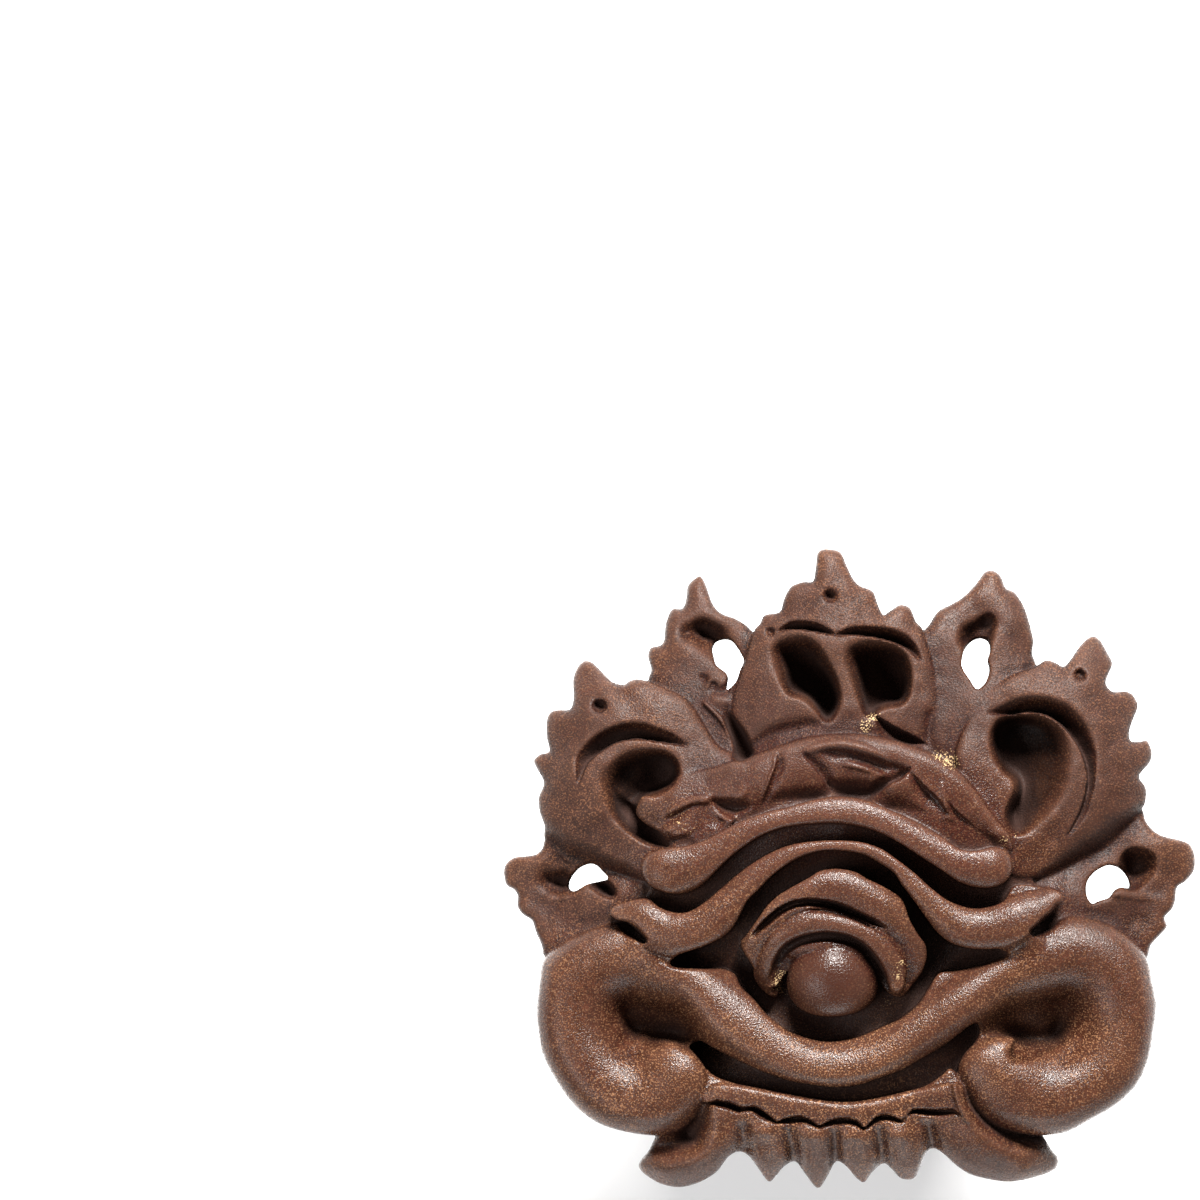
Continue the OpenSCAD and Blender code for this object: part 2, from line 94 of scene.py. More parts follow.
# Outlines of the crown and the leaves
CROWN = [
    [-132,403], [-122,417], [-116,430], [-94,435], [-88,455], [-77,475], [-58,482], [-46,482], [-42,505],
    [-40,526], [-32,533], [-14,532], [-5,526], [3,506], [12,486], [22,475], [40,467], [47,448], [55,430],
    [66,437], [80,446], [94,441], [102,420], [113,405], [132,340], [150,240], [140,170], [100,130],
    [-100,130], [-145,200], [-166,280], [-150,340]]
TOP_LEFT = [
    [-120,398], [-132,403], [-143,415], [-160,426], [-178,433], [-191,448], [-201,478], [-210,495],
    [-227,479], [-230,455], [-236,441], [-250,441], [-259,419], [-262,390], [-269,383], [-281,380],
    [-285,366], [-280,345], [-283,320], [-250,240], [-150,190], [-125,300]]
TOP_RIGHT = [
    [100,395], [113,405], [122,416], [134,436], [155,448], [172,460], [188,478], [202,498], [213,501],
    [225,492], [232,473], [245,466], [258,445], [267,415], [272,390], [270,370], [275,350], [262,325],
    [228,303], [203,275], [192,225], [165,190], [130,180]]
BIG_LEFT = [
    [-262,316], [-283,326], [-300,330], [-313,326], [-319,321], [-336,326], [-352,343], [-364,356],
    [-375,360], [-386,351], [-393,330], [-392,300], [-397,283], [-412,282], [-424,280], [-431,267],
    [-431,240], [-427,217], [-440,213], [-450,203], [-445,190], [-435,170], [-438,157], [-443,144],
    [-441,122], [-434,100], [-433,78], [-400,42], [-330,15], [-280,0], [-200,40], [-150,190], [-185,228],
    [-224,293]]
BIG_RIGHT = [
    [230,330], [275,350], [289,359], [303,356], [315,349], [326,361], [338,380], [349,393], [359,398],
    [369,391], [377,375], [386,355], [380,338], [376,323], [386,310], [405,311], [416,305], [423,288],
    [416,268], [410,248], [412,233], [427,232], [436,234], [443,216], [440,200], [424,178], [434,160],
    [434,140], [428,126], [400,85], [370,60], [330,35], [290,20], [240,20], [200,60], [160,190],
    [165,240], [195,300]]
LOW_LEFT = [
    [-410,80], [-433,79], [-437,66], [-446,56], [-462,53], [-478,51], [-490,42], [-494,28], [-490,8],
    [-478,0], [-473,-10], [-474,-25], [-466,-38], [-452,-48], [-447,-65], [-438,-88], [-433,-106],
    [-400,-120], [-290,-120], [-280,30], [-330,75]]
LOW_RIGHT = [
    [400,120], [428,127], [433,110], [443,95], [457,85], [480,79], [496,73], [504,60], [506,45], [503,28],
    [492,14], [479,4], [477,-15], [472,-30], [461,-43], [465,-57], [455,-70], [441,-87], [434,-108],
    [400,-120], [240,-120], [230,30], [340,90]]

# Openings right through
HOLES = [
    [[-192,378], [-188,388], [-178,393], [-163,390], [-146,361], [-151,345], [-157,326], [-170,312],
     [-171,320], [-169,332], [-172,340], [-186,352], [-190,366]],
    [[168,350], [172,375], [183,390], [196,395], [207,390], [210,375], [206,360], [209,345], [203,325],
     [190,313], [180,328]],
    [[-400,8], [-396,20], [-385,34], [-370,41], [-358,38], [-348,27], [-341,18], [-352,14], [-372,9],
     [-390,-2], [-398,0]],
    [[347,2], [350,16], [362,30], [381,39], [398,33], [409,18], [411,3], [400,4], [390,0], [382,-12],
     [368,-17], [356,-22], [349,-12]]]

# Outlines and spines of the parts round the eye
BED = [
    [-300,-60], [-240,80], [-140,170], [0,200], [130,170], [225,80], [290,-40], [260,-200], [190,-330],
    [100,-345], [-100,-345], [-200,-330], [-270,-200]]
BROW = [
    [-245,-6], [-222,-3], [-205,8], [-190,24], [-170,46], [-150,64], [-120,85], [-90,97], [-60,102],
    [-20,104], [20,99], [50,89], [80,72], [110,51], [140,30], [160,15], [180,6], [200,3], [218,6],
    [232,15], [240,30], [240,45], [234,58], [222,65], [208,66], [195,62], [180,60], [165,63], [150,73],
    [135,85], [115,98], [90,112], [60,126], [40,136], [20,142], [0,145], [-20,145], [-45,140], [-70,132],
    [-85,127], [-105,123], [-130,114], [-160,101], [-185,86], [-205,75], [-230,68], [-260,64], [-285,54],
    [-293,38], [-288,18], [-272,2]]
BROW_SPINE = [
    [-252,30,42,4.55,0], [-215,40,34,4.58,-0.07], [-175,66,25,4.6,-0.15], [-140,92,20,4.65,-0.22],
    [-95,111,18,4.7,-0.29], [-50,121,20,4.72,-0.35], [0,124,21,4.73,-0.35], [50,110,22,4.72,-0.29],
    [95,82,23,4.7,-0.22], [135,58,26,4.68,-0.15], [165,42,30,4.68,-0.07], [205,35,36,4.7,0]]
LID = [
    [-338,-36], [-330,-24], [-315,-19], [-298,-14], [-282,-14], [-265,-28], [-240,-36], [-220,-32],
    [-200,-18], [-175,5], [-150,28], [-120,50], [-90,66], [-60,74], [-20,77], [20,75], [50,65], [70,51],
    [100,26], [120,6], [145,-15], [170,-26], [190,-29], [215,-24], [230,-15], [238,2], [250,8], [270,6],
    [290,3], [305,-2], [312,-10], [307,-24], [300,-40], [288,-52], [272,-62], [255,-76], [240,-84],
    [225,-90], [200,-92], [175,-90], [150,-81], [130,-63], [115,-41], [95,-11], [80,10], [70,27], [45,45],
    [20,57], [-20,62], [-50,57], [-80,42], [-105,22], [-125,0], [-140,-16], [-150,-36], [-160,-56],
    [-175,-72], [-200,-86], [-230,-97], [-260,-106], [-285,-95], [-290,-78], [-303,-60], [-315,-50],
    [-328,-46]]
LID_SPINE = [
    [-325,-36,22,4,0], [-290,-45,34,4.3,-0.03], [-250,-66,36,4.5,-0.06], [-205,-58,34,4.62,-0.1],
    [-165,-22,27,4.66,-0.13], [-120,28,20,4.68,-0.16], [-70,60,13,4.7,-0.19], [-20,70,11,4.7,-0.22],
    [30,65,12,4.7,-0.22], [70,42,14,4.7,-0.22], [100,8,19,4.7,-0.19], [130,-24,24,4.7,-0.16],
    [165,-56,32,4.7,-0.13], [205,-60,34,4.7,-0.1], [245,-50,40,4.7,-0.06], [278,-34,34,4.55,-0.03],
    [304,-16,22,4.3,0]]
FOLD = [
    [-150,-85], [-140,-68], [-125,-45], [-112,-25], [-95,-8], [-75,5], [-50,20], [-35,30], [-10,33],
    [15,28], [30,18], [50,8], [75,-8], [85,-22], [92,-45], [105,-70], [115,-85], [117,-105], [110,-128],
    [95,-150], [82,-166], [62,-160], [40,-130], [0,-100], [-60,-100], [-100,-150], [-120,-146],
    [-132,-120]]
INNER_FOLD = [
    [-130,-118], [-118,-90], [-105,-66], [-90,-47], [-70,-36], [-45,-32], [-20,-36], [10,-46], [35,-58],
    [60,-70], [80,-90], [88,-115], [86,-140], [80,-160], [66,-158], [60,-140], [50,-122], [38,-104],
    [22,-88], [0,-76], [-25,-71], [-55,-74], [-78,-86], [-92,-104], [-98,-120], [-100,-140], [-96,-158],
    [-100,-168], [-112,-162], [-124,-150], [-131,-135]]

# The forehead with the leaf tip beside it
FOREHEAD = [
    [-215,150], [-190,172], [-160,194], [-130,210], [-100,222], [-60,236], [-20,243], [20,243], [60,236],
    [100,223], [130,210], [160,188], [185,160], [205,130], [222,105], [238,84], [240,55], [200,45],
    [150,55], [100,85], [0,120], [-60,118], [-120,108], [-180,90], [-230,75], [-262,85], [-262,100],
    [-240,120]]
LEAF_TIP = [
    [-301,121], [-292,145], [-276,146], [-262,149], [-247,163], [-238,178], [-215,186], [-185,192],
    [-160,200], [-140,195], [-140,150], [-160,125], [-160,105], [-200,76], [-225,70], [-250,72],
    [-262,87], [-272,94], [-288,104]]
FOREHEAD_LEVELS = [
    [-200,140,3.7], [-150,175,3.9], [-100,205,4.05], [-40,228,4.12], [20,230,4.15], [80,212,4.1],
    [130,180,4.05], [180,135,3.95], [220,90,3.85], [-150,145,3.95], [-110,165,4.1], [-60,170,4.05],
    [-60,140,3.75], [0,170,3.95], [70,150,4], [75,128,3.65], [120,150,4.05], [122,106,3.6], [155,115,3.9],
    [175,75,3.45], [205,75,3.5], [0,135,3.6], [-105,130,3.7], [-210,100,3.7], [-160,118,3.75]]

# The lip with the two cheeks
LIP = [
    [-433,-107], [-440,-140], [-444,-180], [-443,-215], [-437,-252], [-424,-283], [-402,-320],
    [-380,-346], [-352,-366], [-318,-377], [-290,-382], [-262,-383], [-235,-372], [-212,-350],
    [-200,-320], [-198,-295], [-205,-275], [-218,-258], [-225,-246], [-210,-235], [-190,-246],
    [-160,-262], [-120,-282], [-80,-297], [-40,-304], [-10,-307], [20,-303], [50,-292], [80,-280],
    [110,-262], [140,-243], [160,-227], [178,-212], [190,-208], [193,-222], [185,-240], [172,-256],
    [163,-280], [163,-305], [172,-332], [192,-357], [222,-373], [260,-381], [285,-383], [318,-378],
    [350,-360], [390,-335], [420,-303], [436,-265], [443,-225], [448,-180], [442,-145], [434,-107],
    [410,-76], [380,-55], [350,-45], [320,-42], [300,-53], [275,-72], [262,-82], [243,-96], [200,-116],
    [160,-126], [135,-130], [120,-153], [105,-178], [80,-200], [50,-215], [20,-229], [-10,-236],
    [-40,-235], [-80,-221], [-110,-197], [-130,-172], [-150,-150], [-158,-132], [-175,-123], [-200,-123],
    [-240,-121], [-262,-114], [-285,-92], [-297,-78], [-315,-68], [-330,-52], [-350,-55], [-400,-78]]
LIP_SPINE = [
    [-240,-292,62,4.16,0], [-268,-318,66,4.1,0], [-310,-326,70,4.02,0], [-355,-300,76,3.95,0],
    [-382,-255,80,3.9,0], [-392,-200,82,3.86,0], [-380,-152,80,3.85,0], [-348,-120,72,3.9,0],
    [-303,-112,62,4,0], [-258,-130,54,4.12,-0.1], [-215,-158,48,4.24,-0.25], [-175,-188,50,4.34,-0.3],
    [-140,-215,47,4.42,-0.35], [-105,-243,40,4.48,-0.4], [-60,-266,33,4.52,-0.45],
    [-20,-273,32,4.53,-0.45], [25,-267,32,4.52,-0.4], [62,-250,32,4.5,-0.3], [120,-208,35,4.44,-0.2],
    [172,-172,37,4.38,-0.1], [222,-148,44,4.28,0], [275,-120,56,4.12,0], [325,-103,68,3.98,0],
    [368,-122,78,3.9,0], [388,-170,82,3.88,0], [392,-225,82,3.88,0], [374,-280,78,3.92,0],
    [332,-315,74,4,0], [282,-322,70,4.1,0], [238,-305,66,4.2,0], [215,-280,60,4.22,0]]

# Share of the lip's rounding by place
LIP_ROUND = [
    [-440,-180,1], [-430,-290,1], [-350,-365,1], [-270,-382,0.9], [-440,-110,0.8], [-350,-55,0.3],
    [-300,-85,0.15], [-200,-123,0.12], [-100,-205,0.1], [0,-236,0.1], [100,-185,0.1], [200,-116,0.12],
    [300,-53,0.2], [380,-55,0.4], [0,-306,0.2], [-130,-275,0.2], [130,-250,0.2], [-212,-260,0.2],
    [-200,-300,0.5], [-215,-355,0.8], [165,-290,0.4], [180,-345,0.6], [230,-376,0.8], [440,-180,1],
    [430,-290,1], [350,-362,1], [-360,-200,0.9], [360,-200,0.9], [200,-228,0.2]]

# The curls of the cheeks, and how far they lie below the spine
LEFT_CURL = [
    [-318,-240], [-300,-233], [-288,-241], [-272,-243], [-261,-238], [-245,-239], [-231,-247],
    [-218,-256], [-209,-269], [-201,-284], [-197,-300], [-200,-322], [-212,-350], [-235,-372],
    [-275,-376], [-315,-355], [-340,-315], [-340,-270]]
RIGHT_CURL = [
    [242,-231], [226,-228], [210,-230], [195,-240], [180,-252], [168,-270], [163,-295], [166,-318],
    [180,-345], [205,-365], [250,-376], [300,-362], [340,-320], [352,-270], [345,-235], [328,-228],
    [306,-243], [288,-254], [268,-264], [250,-267], [240,-263], [237,-252], [242,-240]]
LEFT_SINK = [
    [-250,-255,0.02], [-210,-275,0.03], [-290,-250,0.08], [-320,-250,0.3], [-335,-290,0.6],
    [-330,-340,0.7], [-290,-368,0.6], [-240,-370,0.5], [-205,-330,0.2], [-270,-310,0.1]]
RIGHT_SINK = [
    [240,-240,0], [200,-240,0.02], [170,-290,0.1], [170,-330,0.3], [205,-365,0.5], [250,-374,0.6],
    [300,-360,0.7], [340,-320,0.7], [350,-265,0.7], [335,-235,0.4], [300,-250,0.1], [250,-300,0.08]]

# Joins at the corners of the eye: outline and levels
LEFT_CORNER = [
    [[-305,-78], [-292,-70], [-268,-80], [-252,-92], [-250,-108], [-262,-118], [-290,-112], [-305,-98]],
    [[-300,-80,3.95], [-270,-80,4.2], [-255,-100,4.05], [-285,-110,3.9]]]
RIGHT_CORNER = [
    [[238,-70], [262,-60], [276,-70], [282,-86], [262,-100], [240,-98], [228,-90]],
    [[245,-70,4.4], [270,-72,4.2], [265,-95,4.05], [240,-92,4.15]]]

# Teeth, fangs and gum
JAW = [
    [-265,-370], [-275,-390], [-284,-409], [-298,-429], [-290,-444], [-265,-460], [-238,-465],
    [-210,-457], [-185,-440], [-168,-416], [-152,-408], [-137,-417], [-122,-440], [-110,-457],
    [-100,-447], [-88,-432], [-72,-424], [-58,-443], [-40,-467], [-27,-450], [-13,-424], [2,-432],
    [15,-449], [27,-458], [38,-442], [55,-427], [68,-437], [80,-451], [98,-452], [106,-438], [115,-412],
    [127,-403], [142,-412], [160,-430], [185,-446], [235,-456], [280,-447], [303,-436], [307,-420],
    [296,-404], [281,-380], [240,-340], [160,-300], [0,-330], [-180,-300], [-230,-330]]
JAW_LEVELS = [
    [-120,-365,3.7], [-50,-375,3.75], [25,-378,3.75], [90,-365,3.7], [-113,-410,3.35], [-42,-410,3.4],
    [28,-410,3.4], [88,-410,3.35], [-110,-440,2.7], [-40,-445,2.6], [28,-440,2.7], [88,-437,2.75],
    [-110,-458,2], [-40,-468,1.9], [28,-459,2], [88,-453,2.2], [-180,-360,3.75], [-190,-400,3.65],
    [-215,-430,3.35], [-255,-435,3], [-292,-430,2.4], [-240,-462,2.3], [-185,-438,2.9], [-152,-408,3.2],
    [-73,-424,3], [-13,-424,3], [54,-427,3], [145,-360,3.75], [165,-395,3.65], [200,-425,3.4],
    [250,-440,3], [298,-425,2.3], [235,-455,2.5], [170,-435,2.9], [127,-403,3.2], [240,-390,3.5],
    [-230,-380,3.4]]
TOOTH_CUTS = [
    [[-146,-376,10,0.25], [-145,-402,12,0.5]],
    [[-82,-376,9,0.2], [-76,-400,13,0.5], [-73,-424,10,0.5]],
    [[-15,-380,7,0.2], [-14,-402,10,0.5], [-13,-424,9,0.5]],
    [[48,-378,10,0.25], [52,-400,13,0.5], [54,-426,10,0.5]],
    [[120,-370,9,0.3], [125,-396,11,0.5]]]
TOOTH_TOPS = [[-120,-372], [-50,-379], [12,-382], [76,-380]]
GUM = [
    [-202,-280], [-192,-287], [-180,-294], [-160,-301], [-120,-318], [-80,-335], [-60,-341], [-20,-343],
    [0,-342], [40,-338], [60,-330], [80,-322], [100,-313], [120,-303], [140,-288], [150,-278], [160,-286],
    [166,-303], [169,-325], [180,-350], [171,-356], [163,-348], [155,-342], [135,-342], [115,-341],
    [97,-342], [88,-352], [80,-357], [62,-350], [45,-353], [35,-362], [27,-370], [18,-360], [0,-355],
    [-20,-358], [-30,-364], [-38,-367], [-50,-358], [-65,-353], [-85,-355], [-98,-360], [-108,-352],
    [-118,-344], [-130,-337], [-143,-338], [-152,-337], [-165,-331], [-180,-327], [-205,-328]]
GUM_CUTS = [
    [-200,-328,7.2,0.31], [-185,-328,10.8,0.62], [-165,-331,13.5,0.78], [-152,-337,12.6,0.78],
    [-143,-338,8.1,0.54], [-130,-337,11.7,0.78], [-118,-344,12.6,0.78], [-108,-352,10.8,0.7],
    [-98,-360,5.4,0.39], [-85,-355,11.7,0.78], [-65,-353,11.7,0.78], [-50,-358,9,0.7],
    [-38,-367,5.4,0.39], [-20,-358,10.8,0.78], [0,-355,11.7,0.78], [18,-360,9.9,0.7], [27,-370,5.4,0.39],
    [45,-353,10.8,0.78], [62,-350,10.8,0.78], [80,-357,7.2,0.46], [88,-352,4,0.08], [97,-342,8.1,0.62],
    [115,-341,11.7,0.78], [135,-342,11.7,0.78], [155,-342,9,0.62], [163,-348,4.5,0.16]]

# Patches on the face for the material: radius in thousandths of the width, and amount
DUST = [
    [28,256,12,0.9], [42,270,9,0.9], [152,200,15,1], [132,209,9,0.8], [228,77,8,0.8], [245,85,6,0.7],
    [-92,-128,9,0.9], [-98,-146,10,1], [-90,-160,8,0.8], [82,-112,9,0.8], [76,-132,9,0.8],
    [-135,-72,6,0.7], [58,-176,9,0.7], [-130,-150,6,0.6], [110,-190,9,0.5], [-250,120,22,0.35],
    [-230,95,18,0.35]]
RED = [
    [0,170,110,0.8], [-110,160,90,0.7], [120,140,90,0.8], [190,90,60,0.6], [-17,-142,62,1.2],
    [0,110,70,0.5], [-150,60,80,0.5], [200,30,60,0.5], [-50,-10,70,0.4], [-240,130,60,0.6],
    [-60,250,60,0.5], [60,250,60,0.4]]
EYE = [[-17,-142,58,1.1]]
MATTE = [
    [-196,215,65,0.9], [-20,330,125,1], [-20,450,80,1], [-100,300,80,0.8], [90,300,80,0.8],
    [-210,390,90,1], [-190,280,60,0.7], [215,400,90,1], [190,280,70,0.8], [-370,260,90,0.8],
    [-390,150,90,0.9], [-330,90,60,0.5], [350,300,90,0.9], [400,200,90,0.9], [330,110,80,0.7],
    [-430,0,70,0.9], [-370,-20,50,0.8], [440,20,80,0.9], [370,-10,60,0.8], [0,-410,90,0.25],
    [-220,-420,70,0.3], [220,-420,70,0.3]]
GOLD = [
    [0,-355,80,0.6], [-100,-355,70,0.6], [110,-355,70,0.6], [-60,-225,50,0.45], [60,-235,50,0.4],
    [-330,-330,80,0.3], [300,-250,90,0.3], [-400,40,60,0.5], [-360,150,80,0.4], [400,250,80,0.3]]
# Painted shade in the scroll hollows of the big leaves and the crown
HOLLOW_SHADE = [
    [255,165,50,1.2], [250,215,60,1.2], [300,215,40,0.6], [-305,140,45,1.2], [-285,190,60,1.2],
    [-330,180,40,0.5], [-285,95,30,1], [-60,340,60,0.6], [50,345,60,0.6], [-20,280,30,0.8]]


def smooth_min(a, b, k):
    """The lower of two fields, blended over k mm."""
    share = np.clip(0.5 + 0.5 * (b - a) / k, 0.0, 1.0)
    return b + (a - b) * share - k * share * (1.0 - share)


def smooth_max(a, b, k):
    return -smooth_min(-a, -b, k)


def mm(rows):
    """Table rows with x and y in mm."""
    rows = np.array(rows, float)
    rows[:, 0] *= FACE_W / 1000
    rows[:, 1] *= FACE_H / 1000
    return rows


def curve(rows, closed=False):
    """Smooth curve through the rows, with a point about every 0.15 mm."""
    p = mm(rows)
    n = len(p)
    gap, pull = 0.14 if closed else 0.15, 0.45
    out = []
    for i in range(n if closed else n - 1):
        if closed:
            before, start, end, after = p[i - 1], p[i], p[(i + 1) % n], p[(i + 2) % n]
        else:
            before, start, end, after = p[max(i - 1, 0)], p[i], p[i + 1], p[min(i + 2, n - 1)]
        steps = max(2, int(np.ceil(np.hypot(*(end - start)[:2]) / gap)))
        t = (np.arange(steps) / steps)[:, None]
        out.append((2 * t**3 - 3 * t**2 + 1) * start + (t**3 - 2 * t**2 + t) * (end - before) * pull
                   + (3 * t**2 - 2 * t**3) * end + (t**3 - t**2) * (after - start) * pull)
    if not closed:
        out.append(p[-1:])
    return np.concatenate(out)


def near_path(gx, gy, path):
    """Distance from each grid point to a path, its side and the place along it."""
    best = np.full(np.broadcast(gx, gy).shape, 1e9)
    side = np.zeros_like(best)
    where = np.zeros_like(best)
    for i in range(len(path) - 1):
        ax, ay = path[i, 0], path[i, 1]
        dx, dy = path[i + 1, 0] - ax, path[i + 1, 1] - ay
        t = np.clip(((gx - ax) * dx + (gy - ay) * dy) / (dx * dx + dy * dy + 1e-12), 0, 1)
        ex, ey = gx - ax - t * dx, gy - ay - t * dy
        square = ex * ex + ey * ey
        nearer = square < best
        best = np.where(nearer, square, best)
        side = np.where(nearer, dx * ey - dy * ex, side)
        where = np.where(nearer, i + t, where)
    return np.sqrt(best), np.sign(side), where


def along(gx, gy, rows):
    """Distance to the rows' line, its side, and the line's width and height nearest by."""
    line = curve(rows)
    d, side, where = near_path(gx, gy, line)
    k = np.arange(len(line))
    values = [np.interp(where, k, line[:, i]) for i in range(2, line.shape[1])]
    values[0] = values[0] * FACE_W / 1000
    return d, side, values


def inside(gx, gy, outline):
    """Signed distance to a closed outline, negative inside."""
    ring = np.concatenate([outline, outline[:1]])
    d, _, _ = near_path(gx, gy, ring)
    hit = np.zeros(d.shape, bool)
    for (ax, ay), (bx, by) in zip(ring[:-1, :2], ring[1:, :2]):
        if ay != by:
            hit ^= ((ay > gy) != (by > gy)) & (gx < ax + (bx - ax) * (gy - ay) / (by - ay))
    return np.where(hit, -d, d)


def sheet(gx, gy, rows):
    """Smooth surface through the rows' heights, as a thin plate takes it."""
    p = mm(rows)
    n = len(p)
    if n == 1:
        return np.full(np.broadcast(gx, gy).shape, p[0, 2])
    square = (p[:, None, 0] - p[None, :, 0]) ** 2 + (p[:, None, 1] - p[None, :, 1]) ** 2
    a = np.zeros((n + 3, n + 3))
    a[:n, :n] = 0.5 * square * np.log(square + 1e-9) + 0.01 * np.eye(n)
    a[:n, n], a[:n, n + 1:] = 1, p[:, :2]
    a[n, :n], a[n + 1:, :n] = 1, p[:, :2].T
    weight = np.linalg.solve(a, np.concatenate([p[:, 2], np.zeros(3)]))
    out = weight[n] + weight[n + 1] * gx + weight[n + 2] * gy
    for i in range(n):
        square = (gx - p[i, 0]) ** 2 + (gy - p[i, 1]) ** 2
        out = out + weight[i] * 0.5 * square * np.log(square + 1e-9)
    return out


def box_mean(grid, cells, axis):
    """Mean over a run of cells each way along one axis."""
    pad = [(0, 0)] * grid.ndim
    pad[axis] = (cells + 1, cells)
    total = np.cumsum(np.pad(grid, pad, mode="edge"), axis=axis, dtype=np.float64)
    run = 2 * cells + 1
    late = [slice(None)] * grid.ndim
    early = [slice(None)] * grid.ndim
    late[axis], early[axis] = slice(run, None), slice(0, -run)
    return (total[tuple(late)] - total[tuple(early)]) / run


def blur(grid, cells, passes=3):
    for _ in range(passes if cells >= 1 else 0):
        for axis in range(grid.ndim):
            grid = box_mean(grid, int(cells), axis)
    return grid


class Block:
    """Signed distance of the carved front on a grid, in mm above its flat back."""

    def __init__(self):
        self.x, self.y, self.z = [np.arange(low, high, STEP) for low, high in zip(GRID_LOW, GRID_HIGH)]
        self.field = np.full((len(self.x), len(self.y), len(self.z)), FAR, np.float32)

    def window(self, line, margin):
        """Columns of the grid round a line, with their x and y."""
        low, high = line[:, :2].min(0) - margin, line[:, :2].max(0) + margin
        i0, i1 = np.searchsorted(self.x, (low[0], high[0]))
        j0, j1 = np.searchsorted(self.y, (low[1], high[1]))
        part = slice(max(i0 - 1, 0), i1 + 1), slice(max(j0 - 1, 0), j1 + 1)
        return part, self.x[part[0]][:, None], self.y[part[1]][None, :]

    def cut(self, part, field, k):
        self.field[part] = smooth_max(self.field[part], -field.astype(np.float32), k)


class Form:
    """One carved shape: a closed outline and the height of its top over it."""

    def __init__(self, block, outline, levels=None):
        self.block = block
        outline = curve(outline, True)
        self.part, self.gx, self.gy = block.window(outline, 0.5)
        self.edge = inside(self.gx, self.gy, outline)
        self.top = np.zeros(self.edge.shape) if levels is None else self.sheet(levels)

    def sheet(self, rows):
        return sheet(self.gx, self.gy, rows)

    def outline(self, rows):
        return inside(self.gx, self.gy, curve(rows, True))

    def along(self, rows):
        return along(self.gx, self.gy, rows)

    def crest(self, rows, full, blend=None):
        """Round the top over a spine: rows x, y, half width, height and lean to one side."""
        d, side, (w, height, *lean) = self.along(rows)
        s, middle = d * side, (lean[0] if lean else 0.0) * w
        u = np.where(s > middle, (s - middle) / (w - middle), (middle - s) / (w + middle))
        u = np.clip(np.maximum(u, (d > w) * d / w), 0, 0.995)
        height = height - w * full * (1 - np.sqrt(1 - u**2))
        self.top = height if blend is None else smooth_max(self.top, height, blend)
        return self

    def round(self, run, drop, power=2.0, where=None):
        """Round the rim over a run in from the outline; where gives shares of it by place."""
        share = 1.0 if where is None else np.clip(self.sheet(where), 0.02, 1)
        t = 1 - np.clip(-self.edge / (run * share), 0, 1)
        self.top = self.top - drop * share * (1 - (1 - t**power) ** (1 / power))
        return self

    def step(self, rows, side=1):
        """Cut down sharply at a line, rising away on one side: rows x, y, run, depth."""
        d, s, (run, depth) = self.along(rows)
        u = np.clip(d / run, 0, 1)
        on = np.clip(d * s * side / 0.05 + 0.5, 0, 1)
        self.top = self.top - depth * (1 - u) ** 2 * (1 + 2 * u) * on

    def groove(self, rows):
        """U-shaped cut: rows x, y, half width, depth."""
        d, _, (w, depth) = self.along(rows)
        self.top = self.top - depth * np.clip(1 - (d / w) ** 2, 0, None)

    def ridge(self, rows):
        self.groove([[x, y, w, -height] for x, y, w, height in rows])

    def dish(self, rows, power=2.0):
        """Soft hollow without an edge, or a swelling where the depth is negative."""
        d, _, (w, depth) = self.along(rows)
        self.top = self.top - depth * np.exp(-((d / w) ** power))

    def sink(self, rows, levels, wall, k):
        """Hollow with its own outline and floor heights."""
        edge = self.outline(rows)
        floor = self.sheet(levels) + wall * np.maximum(edge, 0) + 0.6 * np.maximum(edge + 0.12, 0)
        self.top = smooth_min(self.top, floor, k)

    def bowl(self, rows, depth, run):
        """Hollow under the top: its depth and the run in from its outline, in mm, by place."""
        t = np.clip(-self.outline(rows) / np.clip(self.sheet(run), 0.08, 3), 0, 1)
        self.top = self.top - np.maximum(self.sheet(depth), 0) * blur(t * t * (3 - 2 * t), 1)

    def rough(self, amount, size, seed):
        """Hand-cut unevenness: seeded bumps of about the given size in mm."""
        bumps = np.random.default_rng(seed).standard_normal(self.top.shape)
        bumps = blur(bumps, max(1, round(size / STEP / 3)))
        self.top = self.top + amount * bumps / bumps.std()

    def soften(self, reach):
        self.top = blur(self.top, round(reach / STEP))

    def lay(self, rim, k=0.06):
        """Add the form to the block, its rim and its foot blended."""
        rise_x, rise_y = np.gradient(self.top, STEP)
        slope = (1 / np.sqrt(1 + np.minimum(rise_x**2 + rise_y**2, 12.0))).astype(np.float32)
        z = self.block.z[None, None, :].astype(np.float32)
        field = (z - self.top[..., None].astype(np.float32)) * slope[..., None]
        field = smooth_max(self.edge[..., None].astype(np.float32), field, rim)
        self.block.field[self.part] = smooth_min(self.block.field[self.part], field, k)


def pierce(block, outline):
    """Cut right through."""
    outline = curve(outline, True)
    part, gx, gy = block.window(outline, 1.0)
    block.cut(part, inside(gx, gy, outline)[..., None], 0.12)


def gouge(block, rows, k=0.06, flare=0.1):
    """Round-bottomed cut into everything: rows x, y, half width, height of its bottom."""
    line = curve(rows)
    part, gx, gy = block.window(line, line[:, 2].max() * FACE_W / 1000 + 0.6)
    d, _, (w, bottom) = along(gx, gy, rows)
    d, w, bottom = d[..., None], w[..., None], bottom[..., None]
    z = block.z[None, None, :]
    down = np.maximum((bottom + w - z) / w, 0)
    low = (np.sqrt((d / w) ** 2 + down**2) - 1) * w
    wall = d - w - flare * np.maximum(z - bottom - w, 0)
    block.cut(part, np.where(z < bottom + w, low, wall), k)


